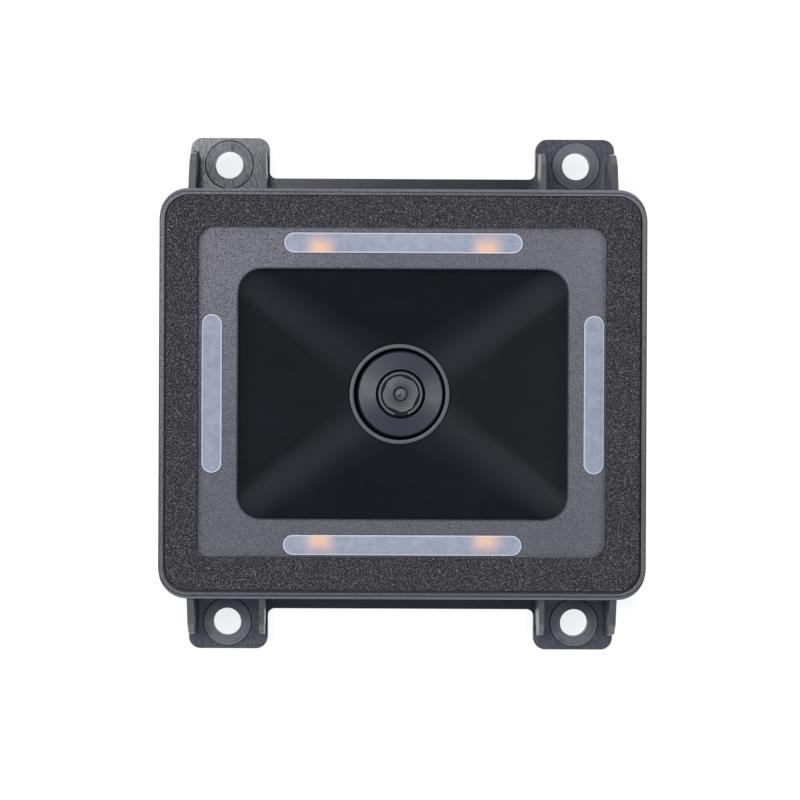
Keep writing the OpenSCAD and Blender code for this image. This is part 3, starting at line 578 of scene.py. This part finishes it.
milk = finish.mix(long_guide * -0.12 + 0.12, milk, (0.09, 0.11, 0.15, 1))
milk = finish.mix(bubbles * ends * 0.5, milk, (0.55, 0.59, 0.67, 1))
milk = finish.mix(glow * 0.95, milk, finish.mix(core, (0.74, 0.5, 0.41, 1), (0.86, 0.53, 0.34, 1)))
milk = finish.mix(edge_highlight * 0.55, milk, (0.75, 0.76, 0.8, 1))
finish.surface(
    Base_Color=milk,
    Roughness=cloud.ramp(0.3, 0.7, 0.55, 0.45),
    Specular_IOR_Level=0.35,
    Normal=finish.relief(cloud * 0.6 + bubbles * ends * 0.4, 0.01),
)
finishes["frosted_guide"] = frosted
print("guides:", round(GUIDE_LONG, 3), "and", round(GUIDE_SHORT, 3), "long, glow at x = +-", LAMP_X)

# %% [markdown]
# ## Lens parts
# The lens holder and the barrel are turned or moulded round the optical axis. Fine rings in their
# faces bend the light only outwards and inwards, never sideways, so they shine towards the two side
# panels and stay dark above and below. An anisotropic shader would do the same, but it has no rings to
# see from near. So the rings are noise that reads nothing but the radius.


# %% Ringed finishes
def ringed(name, colour, ring, depth, shine, top, cup=0.0, fall=0.0, vary=0.22):
    """Rings round the lens axis, ring millimetres wide, on a face whose height is top. What lies
    deeper is painted black as shade. A cup bends the light as a dish does, and a fall darkens the middle."""
    material, finish = new_finish(name)
    spot = finish.place(centre=(LENS_X + LENS_SHIFT, 0, 0), squeeze=(1, 1, 0))
    radius = finish.add("ShaderNodeVectorMath", {"operation": "LENGTH"}, {0: spot}, output="Value")
    line = finish.add("ShaderNodeCombineXYZ", {}, {"X": radius})
    rings = finish.noise(line, ring, 3.0, 0.7)
    cloud = finish.noise(finish.place(), 1.2, 2.0, 0.5)
    dark = tuple(c * (1 - vary) for c in colour[:3]) + (1,)
    pale = tuple(c * (1 + vary) for c in colour[:3]) + (1,)
    z = finish.parts(finish.place())[2]
    # Painted shade: what lies deeper than the top face is black.
    face = z.ramp(top - 0.14, top - 0.06)
    tone = (rings * 0.6 + cloud * 0.4 - 0.5) * 1.3 + 0.5 + radius.ramp(0.9, 2.2, -fall, fall)
    finish.surface(
        Base_Color=finish.mix(face, PAINTED_DARK, finish.mix(tone, dark, pale)),
        Roughness=(cloud.ramp(0.3, 0.7, shine + 0.04, shine - 0.04) - 0.8) * face + 0.8,
        Normal=finish.relief(rings * depth + radius * cup, 1.0),
    )
    return material


LENS_X, LENS_SHIFT = Box("front_lens").middle[0], -0.32
HOLDER_TOP, BARREL_TOP = Box("lens_holder").high[2], Box("lens_barrel").high[2]
COLLAR_TOP = HOLDER_TOP + 0.5
holder_rings = ringed(
    "holder_rings", (0.026, 0.027, 0.037, 1), ring=0.3, depth=0.02, shine=0.34, top=HOLDER_TOP, cup=-0.28
)
barrel_rings = ringed(
    "barrel_rings",
    (0.031, 0.0285, 0.034, 1),
    ring=0.4,
    depth=0.08,
    shine=0.34,
    top=BARREL_TOP,
    fall=0.6,
    vary=0.75,
)
rim_rings = ringed("rim_rings", (0.06, 0.06, 0.068, 1), ring=0.1, depth=0.01, shine=0.38, top=BARREL_TOP)
print("ringed:", holder_rings.name, barrel_rings.name, rim_rings.name)

# %% [markdown]
# The lens itself is coated glass in a dark hole. It shows as a small pale spot, a reflection in its
# coating, with a dark mark where it mirrors the diaphragm. Clear glass would only show the black behind
# it, so both are painted reflections: a pale spot that darkens into painted shade towards the rim of
# the hole, and the mark as a wedge-shaped mask.

# %% Glass
coated, finish = new_finish("lens_glass")
x, y = finish.parts(finish.place(centre=(LENS_X + LENS_SHIFT, 0, 0)))[:2]
# Painted reflection of the diaphragm: a dark wedge.
wedge = (abs(x - y * 0.4) + y * 0.3).ramp(0.1, 0.18, 1.0, 0.0) * abs(y + 0.02).ramp(0.36, 0.44, 1.0, 0.0)
cloud = finish.noise(finish.place(), 0.4, 2.0, 0.5)
# Painted reflection: a pale spot in the coating.
pale = finish.mix(cloud, (0.08, 0.083, 0.105, 1), (0.16, 0.167, 0.205, 1))
# Painted shade: the glass goes dark towards the rim of the hole.
pale = finish.mix((x * x + y * y).ramp(0.5, 0.64), pale, (0.006, 0.006, 0.008, 1))
finish.surface(
    Base_Color=finish.mix(wedge, pale, PAINTED_DARK),
    Roughness=cloud.ramp(0.3, 0.7, 0.3, 0.4),
    Specular_IOR_Level=0.3,
)
finishes["lens_glass"] = coated

filter_blue, finish = new_finish("filter_glass")
cloud = finish.noise(finish.place(), 0.8, 2.0, 0.5)
finish.surface(
    Base_Color=finish.mix(cloud, (0.16, 0.4, 0.38, 1), (0.22, 0.5, 0.46, 1)),
    Roughness=cloud.ramp(0.3, 0.7, 0.05, 0.1),
)
finishes["filter_glass"] = filter_blue
print("glass:", coated.name, filter_blue.name)

# %% [markdown]
# ## Board and metals
# The boards, pins and chips are closed in, but they are finished too, for anyone who opens the case in
# the model. A circuit board is green lacquer over copper tracks. The tracks could be drawn one by one,
# but nobody sees them outside, so the stripes of a brick pattern make the lacquer a shade lighter.
# Metals are a colour, a roughness and scratches.

# %% Board
lacquer, finish = new_finish("circuit_board")
spot = finish.place()
rows = finish.add(
    "ShaderNodeTexBrick",
    {"offset": 0.37, "offset_frequency": 3, "squash": 0.6, "squash_frequency": 2},
    {"Vector": spot, "Scale": 1.0, "Mortar Size": 0.12, "Brick Width": 5.2, "Row Height": 0.9},
    output="Fac",
)
weave = finish.noise(spot, 0.25, 2.0, 0.5)
green = finish.mix(weave, (0.012, 0.075, 0.03, 1), (0.02, 0.11, 0.045, 1))
finish.surface(
    Base_Color=finish.mix(rows * 0.6, green, (0.05, 0.19, 0.08, 1)),
    Roughness=weave.ramp(0.3, 0.7, 0.3, 0.4),
    Normal=finish.relief(rows * 0.8 + weave * 0.2, 0.02),
)
finishes["circuit_board"] = lacquer
print("board:", lacquer.name)


# %% Metals and light sources
def metal(name, colour, shine, scratch):
    """Bare metal with scratches along Y, scratch millimetres apart. Shine is its roughness."""
    material, finish = new_finish(name)
    spot = finish.place()
    scratches = finish.noise(finish.place(squeeze=(1, 0.08, 1)), scratch, 3.0, 0.7)
    cloud = finish.noise(spot, 0.9, 2.0, 0.5)
    dull = tuple(c * 0.75 for c in colour[:3]) + (1,)
    finish.surface(
        Base_Color=finish.mix(cloud * 0.6 + scratches * 0.4, dull, colour),
        Metallic=1.0,
        Roughness=(scratches - 0.5) * 0.16 + shine,
        Normal=finish.relief(scratches, 0.003),
    )
    return material


def cast(name, colour, shine):
    """A small cast body, such as a light source: cloudy, with a smooth skin. Shine is its roughness."""
    material, finish = new_finish(name)
    cloud = finish.noise(finish.place(), 0.5, 3.0, 0.6)
    dull = tuple(c * 0.82 for c in colour[:3]) + (1,)
    finish.surface(
        Base_Color=finish.mix(cloud, dull, colour),
        Roughness=cloud.ramp(0.3, 0.7, shine - 0.05, shine + 0.08),
        Normal=finish.relief(cloud, 0.01),
    )
    return material


finishes["screw_steel"] = metal("screw_steel", (0.33, 0.33, 0.34, 1), shine=0.34, scratch=0.12)
finishes["contact_gold"] = metal("contact_gold", (0.9, 0.66, 0.3, 1), shine=0.28, scratch=0.15)
finishes["can_metal"] = metal("can_metal", (0.68, 0.67, 0.64, 1), shine=0.3, scratch=0.2)
finishes["phosphor"] = cast("phosphor", (0.88, 0.52, 0.13, 1), shine=0.4)
finishes["led_clear"] = cast("led_clear", (0.8, 0.8, 0.76, 1), shine=0.3)
print("finishes:", len(finishes))

# %% [markdown]
# ## Tools for modelling by hand
# The pieces are made with the same operators as by hand: add a primitive, go into edit mode, select
# vertices, edges or faces, and extrude, inset or spin them. An operator acts on whatever is selected,
# so each new piece starts with nothing selected, and `choose` picks elements by where they are.


# %% Selecting
def start_piece():
    """Deselects everything, so that an operator acts on the new piece alone."""
    bpy.ops.object.select_all(action="DESELECT")


def take(piece):
    """Selects one piece and makes it the active one."""
    start_piece()
    piece.select_set(True)
    bpy.context.view_layer.objects.active = piece


@contextmanager
def editing(piece, kind="FACE"):
    """Edit mode on one piece, and back to object mode at the end."""
    take(piece)
    bpy.ops.object.mode_set(mode="EDIT")
    bpy.ops.mesh.select_mode(type=kind)
    yield
    bpy.ops.object.mode_set(mode="OBJECT")


def choose(piece, kind, test):
    """Selects the vertices or faces whose middle, in millimetres, passes the test."""
    mesh = bmesh.from_edit_mesh(piece.data)
    for element in [*mesh.faces, *mesh.edges, *mesh.verts]:
        element.select = False
    count = 0
    for element in {"VERT": mesh.verts, "FACE": mesh.faces}[kind]:
        middle = element.co if kind == "VERT" else element.calc_center_median()
        if test(element, middle / MM):
            element.select = True
            count += 1
    mesh.select_flush_mode()
    bmesh.update_edit_mesh(piece.data)
    return count


def move(x, y, z):
    """Moves what is selected, in millimetres."""
    bpy.ops.transform.translate(value=(x * MM, y * MM, z * MM))


def extrude(height):
    """Extrudes what is selected straight up, or down where the height is negative."""
    bpy.ops.mesh.extrude_region_move(TRANSFORM_OT_translate={"value": (0, 0, height * MM)})


def face_outwards():
    """Selects the whole shape and turns all its faces outwards."""
    bpy.ops.mesh.select_all(action="SELECT")
    bpy.ops.mesh.normals_make_consistent(inside=False)


# %% Finishing a piece
def apply(piece, kind, **settings):
    """Adds a modifier and applies it at once."""
    take(piece)
    modifier = piece.modifiers.new(kind.lower(), kind)
    for name, value in settings.items():
        setattr(modifier, name, value)
    bpy.ops.object.modifier_apply(modifier=modifier.name)


def round_edges(piece, width, angle=35):
    """Rounds the edges that turn by more than angle degrees."""
    apply(
        piece,
        "BEVEL",
        width=width * MM,
        segments=2,
        limit_method="ANGLE",
        angle_limit=math.radians(angle),
        miter_outer="MITER_ARC",
        loop_slide=False,
    )


def set_down(piece, name, material, replaced=(), smooth=35):
    """Applies the piece's place, shades it, gives it its finish and lets it ride on the case."""
    take(piece)
    bpy.ops.object.transform_apply(location=True, rotation=True, scale=True)
    bpy.ops.object.shade_smooth_by_angle(angle=math.radians(smooth))
    apply(piece, "WEIGHTED_NORMAL", keep_sharp=True)
    piece.name = name
    piece.data.name = name
    piece.data.materials.clear()
    piece.data.materials.append(material)
    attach(piece, "root")
    if replaced:
        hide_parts(*replaced)
    sides = sum(len(face.vertices) - 2 for face in piece.data.polygons)
    print(f"{name}: {sides} triangles")
    return piece


# %% [markdown]
# ## Round pieces
# A round piece is its own half outline, spun round an axis. It could be stacked from cylinders, but then
# every step would hide faces inside. By hand a spun piece is one vertex, extruded from corner to
# corner, and then spun. Spin can leave the shape inside out, so its doubles are merged and its normals
# are recalculated.


# %% Turning
def turned(outline, steps=96, centre=(0, 0)):
    """Spins an outline of (radius, height) pairs, in millimetres, round an upright axis."""
    start_piece()
    radius, low = outline[0]
    bpy.ops.mesh.primitive_plane_add(size=MM, location=(0, 0, 0))
    piece = bpy.context.object
    with editing(piece, "VERT"):
        bpy.ops.mesh.select_all(action="SELECT")
        bpy.ops.mesh.merge(type="CENTER")
        move(centre[0] + radius, centre[1], low)
        for (r0, z0), (r1, z1) in zip(outline, outline[1:]):
            bpy.ops.mesh.extrude_vertices_move(
                TRANSFORM_OT_translate={"value": ((r1 - r0) * MM, 0, (z1 - z0) * MM)}
            )
        bpy.ops.mesh.select_all(action="SELECT")
        bpy.ops.mesh.spin(
            steps=steps, angle=2 * math.pi, center=(centre[0] * MM, centre[1] * MM, 0), axis=(0, 0, 1)
        )
        bpy.ops.mesh.select_all(action="SELECT")
        bpy.ops.mesh.remove_doubles(threshold=0.002 * MM)
        face_outwards()
    return piece


# %% [markdown]
# The lens in the photograph stands a third of a millimetre left of where the solids have it. Moving
# the parts whole would take them off their seats. So the front ends of the parts round the lens lean
# over by that much, and their feet stay where they are.


# %% Leaning
def lean(piece, level):
    """Moves all that is higher than level to the left, and leaves the foot where it is."""
    with editing(piece, "VERT"):
        count = choose(piece, "VERT", lambda v, p: p.z > level)
        move(LENS_SHIFT, 0, 0)
    print("leaning vertices:", count)
    return piece


# %% [markdown]
# ## Solids with softer edges
# The case, the face, the cover, the holder and the screws already have the right shape, but a CAD
# edge is perfectly sharp, and a real moulded edge catches a thin line of light. So each gets a copy
# of its own mesh, with its loose triangles merged, its flat faces joined, and its edges rounded.


# %% Rounding a copy
def softened(node, width):
    """A copy of a CAD node's mesh, with rounded edges."""
    piece = bpy.data.objects.new(node + "_dressed", nodes[node].data.copy())
    bpy.context.scene.collection.objects.link(piece)
    with editing(piece, "VERT"):
        bpy.ops.mesh.select_all(action="SELECT")
        bpy.ops.mesh.customdata_custom_splitnormals_clear()
        bpy.ops.mesh.remove_doubles(threshold=0.001 * MM)
        bpy.ops.mesh.dissolve_limited(angle_limit=math.radians(0.2))
    round_edges(piece, width)
    return piece


set_down(softened("housing", 0.12), "case", finishes["case_plastic"], ["housing"])
set_down(softened("rear_cover", 0.1), "cover", finishes["case_plastic"], ["rear_cover"])
set_down(softened("front_bezel", 0.04), "face", finishes["bezel_grain"], ["front_bezel"])
set_down(softened("case_screws", 0.06), "screws", finishes["screw_steel"], ["case_screws"])
set_down(lean(softened("lens_holder", 0.06), level=14), "holder", holder_rings, ["lens_holder"])

# %% [markdown]
# ## The funnel
# The black funnel blends the rounded window into the round collar of the lens. Its creases are
# narrow at the window and as wide as the lens at the bottom. Four flat walls would leave sharp
# creases. The right ones come from bridging a rounded rectangle and a circle with the same number of
# vertices. The rectangle is the same circle, cut in four and pulled apart.


# %% Rounded rectangles
def rounded_loop(width, height, radius, level, quarter=24):
    """A rounded rectangle of edges: a circle whose four quarters of so many edges are pulled apart."""
    start_piece()
    count = 4 * quarter
    bpy.ops.mesh.primitive_circle_add(
        vertices=count, radius=radius * MM, location=(0, 0, level * MM), rotation=(0, 0, math.pi / count)
    )
    piece = bpy.context.object
    bpy.ops.object.transform_apply(location=True, rotation=True, scale=True)
    with editing(piece, "VERT"):
        for side in (-1, 1):
            choose(piece, "VERT", lambda v, p: p.x * side > 0)
            move(side * (width / 2 - radius), 0, 0)
        for side in (-1, 1):
            choose(piece, "VERT", lambda v, p: p.y * side > 0)
            move(0, side * (height / 2 - radius), 0)
    return piece


def join(pieces):
    """One piece made of several."""
    start_piece()
    for piece in pieces:
        piece.select_set(True)
    bpy.context.view_layer.objects.active = pieces[0]
    bpy.ops.object.join()
    return pieces[0]


# %% Funnel
mouth_w, mouth_h, mouth_r, hood_wall = 41.2, 31.3, 3.15, 0.9
collar_r, bore_r, floor_z = 6.3, 5.8, HOLDER_TOP + 0.1
mouth = rounded_loop(mouth_w, mouth_h, mouth_r, Box("optical_hood").high[2])
neck = lean(rounded_loop(2 * collar_r, 2 * collar_r, collar_r, floor_z), level=0)
funnel = join([mouth, neck])
with editing(funnel, "EDGE"):
    bpy.ops.mesh.select_all(action="SELECT")
    bpy.ops.mesh.bridge_edge_loops(type="SINGLE", number_cuts=10, interpolation="LINEAR")
    face_outwards()
    wall = bmesh.from_edit_mesh(funnel.data).faces[0]
    print("the funnel's faces look outwards:", wall.normal.dot(wall.calc_center_median()) > 0)
apply(funnel, "SOLIDIFY", thickness=hood_wall * MM, offset=-1.0)
set_down(funnel, "funnel", finishes["hood_black"], ["optical_hood"], smooth=30)

# %% [markdown]
# The collar stands at the bottom of the funnel, a thin tube whose top edge shines as a pale ring. It
# could be extruded from the funnel's lower edge, but as a turned piece of its own it gets an even edge
# and its own ringed finish.

# %% Collar
collar_low = Box("optical_hood").low[2]
collar = turned(
    [
        (bore_r, collar_low),
        (collar_r, collar_low),
        (collar_r, COLLAR_TOP),
        (bore_r, COLLAR_TOP),
        (bore_r, collar_low),
    ],
    steps=128,
)
round_edges(collar, 0.05)
collar_ring = ringed(
    "collar_ring", (0.07, 0.07, 0.078, 1), ring=0.12, depth=0.008, shine=0.45, top=COLLAR_TOP
)
set_down(lean(collar, level=14), "collar", collar_ring, ["optical_hood"])

# %% [markdown]
# ## The lens barrel
# The barrel has a thin rim with a notch, a groove, and a raised nose with the aperture in its middle.
# The tube is turned, and a block takes the notch out of its rim. The nose is a round sheet whose four
# flats are bisected off, as a mill cuts them for a spanner. It is extruded, and a turned cutter makes
# the aperture, with a flare at its mouth.

# %% Barrel
barrel_low, barrel_inside, barrel_shoulder = Box("lens_barrel").low[2], 15.15, 15.05
groove_floor = BARREL_TOP - 0.35
tube_r, thread_r, rim_r, groove_r, nose_r, flat_r, pupil_r = 2.3, 3.0, 2.77, 2.48, 2.27, 2.03, 0.87
tube = turned(
    [
        (pupil_r, barrel_inside),
        (tube_r, barrel_inside),
        (tube_r, barrel_low),
        (thread_r, barrel_low),
        (thread_r, barrel_shoulder),
        (rim_r, barrel_shoulder),
        (rim_r, BARREL_TOP),
        (groove_r, BARREL_TOP),
        (groove_r, groove_floor),
        (pupil_r, groove_floor),
        (pupil_r, barrel_inside),
    ],
    centre=(LENS_X, 0),
)
start_piece()
notch_turn, notch_w = math.radians(-87), 1.6
notch_place = (LENS_X + rim_r * math.cos(notch_turn), rim_r * math.sin(notch_turn), groove_floor + 0.5)
bpy.ops.mesh.primitive_cube_add(
    size=MM, location=[c * MM for c in notch_place], rotation=(0, 0, notch_turn)
)
notch = bpy.context.object
notch.scale = (2 * (rim_r - nose_r), notch_w, 1)
bpy.ops.object.transform_apply(location=True, rotation=True, scale=True)
apply(tube, "BOOLEAN", operation="DIFFERENCE", object=notch, solver="EXACT")
bpy.data.objects.remove(notch)
round_edges(tube, 0.04)
set_down(lean(tube, level=15), "barrel", rim_rings, ["lens_barrel"])

# %% Nose
nose_low, flare, drill_low, flare_low, drill_top = groove_floor - 0.05, 0.3, 15, 16.2, 16.5
start_piece()
bpy.ops.mesh.primitive_circle_add(
    vertices=96, radius=nose_r * MM, fill_type="NGON", location=(LENS_X * MM, 0, nose_low * MM)
)
nose = bpy.context.object
bpy.ops.object.transform_apply(location=True, rotation=True, scale=True)
with editing(nose):
    for turn in [67.5 + 90 * flat for flat in range(4)]:
        way = Vector((math.cos(math.radians(turn)), math.sin(math.radians(turn)), 0))
        cut = (Vector((LENS_X, 0, 0)) + way * flat_r) * MM
        bpy.ops.mesh.select_all(action="SELECT")
        bpy.ops.mesh.bisect(plane_co=cut, plane_no=way, clear_outer=True)
    bpy.ops.mesh.select_all(action="SELECT")
    extrude(BARREL_TOP - nose_low)
    face_outwards()
drill = turned(
    [
        (0, drill_low),
        (pupil_r, drill_low),
        (pupil_r, flare_low),
        (pupil_r + flare, drill_top),
        (0, drill_top),
        (0, drill_low),
    ],
    steps=64,
    centre=(LENS_X, 0),
)
apply(nose, "BOOLEAN", operation="DIFFERENCE", object=drill, solver="EXACT")
bpy.data.objects.remove(drill)
round_edges(nose, 0.05, angle=50)
set_down(lean(nose, level=0), "nose", barrel_rings, ["lens_barrel"])

# %% [markdown]
# The front lens is a shallow dome behind the aperture. It could be a slice of a ball, but a spun outline
# of a short upright edge and an arc is closed and even from the start.

# %% Front lens
lens_box = Box("front_lens")
ball, edge_r, lens_low = 5.5, lens_box.size[1] / 2, lens_box.low[2]
lens_edge = lens_low + 0.5
centre_z = lens_edge - math.sqrt(ball**2 - edge_r**2)
radii = [edge_r * (1 - i / 10) for i in range(11)]
arc = [(radius, centre_z + math.sqrt(ball**2 - radius**2)) for radius in radii]
front_glass = turned([(0, lens_low), (edge_r, lens_low), *arc], steps=64, centre=(LENS_X, 0))
set_down(front_glass, "front_glass", finishes["lens_glass"], ["front_lens"])

# %% [markdown]
# ## The light guides
# A light guide is a bar with round ends: it has a wide flange that rests behind the face, a neck that
# fills its slot, and a leg that reaches down to the light sources. A stretched cylinder would have oval
# ends, so the bar starts as a circle whose quarters are pulled apart. One is modelled for each length,
# from the flange outwards, and copied to the other side.


# %% Light guides
def light_guide(length):
    """A light guide that lies along X, with its slot's middle at the origin."""
    leg, flange_low, flange_top = 0.25, CASE_TOP - 0.8, CASE_TOP
    end = GUIDE_W / 2 + FLANGE
    piece = rounded_loop(length + 2 * FLANGE, 2 * end, end, flange_low, quarter=16)
    with editing(piece, "EDGE"):
        bpy.ops.mesh.select_all(action="SELECT")
        bpy.ops.mesh.edge_face_add()
        bpy.ops.mesh.select_all(action="SELECT")
        extrude(flange_top - flange_low)
        face_outwards()
        bpy.ops.mesh.select_mode(type="FACE")
        choose(piece, "FACE", lambda f, p: f.normal.z > 0.9)
        bpy.ops.mesh.inset(thickness=FLANGE * MM)
        extrude(long_box.high[2] - flange_top)
        choose(piece, "FACE", lambda f, p: f.normal.z < -0.9)
        bpy.ops.mesh.inset(thickness=(FLANGE + leg) * MM)
        extrude(long_box.low[2] - flange_low)
    round_edges(piece, 0.08, angle=50)
    return piece


def copied(piece):
    """The same piece once more, with its own mesh."""
    twin = bpy.data.objects.new(piece.name, piece.data.copy())
    bpy.context.scene.collection.objects.link(twin)
    return twin


def turn_and_place(piece, turn, x, y):
    """Turns a piece round the origin, and then moves it to its place."""
    with editing(piece):
        bpy.ops.mesh.select_all(action="SELECT")
        bpy.ops.transform.rotate(value=turn, orient_axis="Z", center_override=(0, 0, 0))
        move(x, y, 0)


for names, length, turn, x, y in [
    (("top", "bottom"), GUIDE_LONG, 0, 0, GUIDE_Y),
    (("left", "right"), GUIDE_SHORT, math.pi / 2, -GUIDE_X, 0),
]:
    guide = light_guide(length)
    for name, piece, side in zip(names, [guide, copied(guide)], (1, -1)):
        turn_and_place(piece, turn, side * x, side * y)
        set_down(piece, "guide_" + name, frosted, ["light_guide_" + name])

# %% [markdown]
# ## The foam gasket
# The gasket is a sheet of foam with a window cut in it. The window's lower left corner is sharper than
# the other three. The sheet and the window are slabs made from rounded loops, and the window is taken
# out of the sheet, with a small slab for its sharp corner. A voxel remesh then turns the sheet into an
# even net of small faces, and two displacements press pores and unevenness into them, so even its
# edges look torn and soft.


# %% Foam shape
def slab(width, height, radius, low, high, middle=(0, 0)):
    """A rounded rectangle with a thickness."""
    piece = rounded_loop(width, height, radius, low, quarter=8)
    with editing(piece, "EDGE"):
        bpy.ops.mesh.select_all(action="SELECT")
        bpy.ops.mesh.edge_face_add()
        bpy.ops.mesh.select_all(action="SELECT")
        extrude(high - low)
        face_outwards()
        move(middle[0], middle[1], 0)
    return piece


foam_box = Box("foam_gasket")
foam_low, foam_high = foam_box.low[2] + 0.03, foam_box.high[2] - 0.06
window_w, window_h, window_r = 50.36, 40.76, 1.9
window_x, window_y = -0.11, 0.25
sharp_w, sharp_r = 5, 0.6
sharp_middle = (window_x + (sharp_w - window_w) / 2, window_y + (sharp_w - window_h) / 2)
foam_w, foam_h = (size - 0.1 for size in foam_box.size[:2])
foam_r = 2.95
gasket = slab(foam_w, foam_h, foam_r, foam_low, foam_high, foam_box.middle[:2])
for width, height, radius, middle in [
    (window_w, window_h, window_r, (window_x, window_y)),
    (sharp_w, sharp_w, sharp_r, sharp_middle),
]:
    window = slab(width, height, radius, foam_low - 1, foam_high + 1, middle)
    apply(gasket, "BOOLEAN", operation="DIFFERENCE", object=window, solver="EXACT")
    bpy.data.objects.remove(window)
apply(gasket, "REMESH", mode="VOXEL", voxel_size=0.24 * MM)

# %% Foam surface
for name, size, strength in [("unevenness", 1.6, 0.12), ("pores", 0.3, 0.16)]:
    pattern = bpy.data.textures.new(name, "CLOUDS")
    pattern.noise_scale = size * MM
    pattern.noise_depth = 2
    apply(
        gasket, "DISPLACE", texture=pattern, texture_coords="LOCAL", strength=strength * MM, mid_level=0.75
    )
set_down(gasket, "gasket", foam_black, ["foam_gasket"], smooth=60)

# %% [markdown]
# ## The rest of the frame
# Every other solid keeps its shape. They could all be rebuilt too, but boards and chips are boxes and
# pins are pins, so they only get the finish of their material slot.

# %% Finishes for the other nodes
covered = set()
for node in nodes.values():
    slot = node.data.materials[0].name.split(".")[0]
    node.material_slots[0].link = "OBJECT"
    node.material_slots[0].material = finishes[slot]
    covered.add(slot)
print("finishes in use:", sorted(covered))

# %% [markdown]
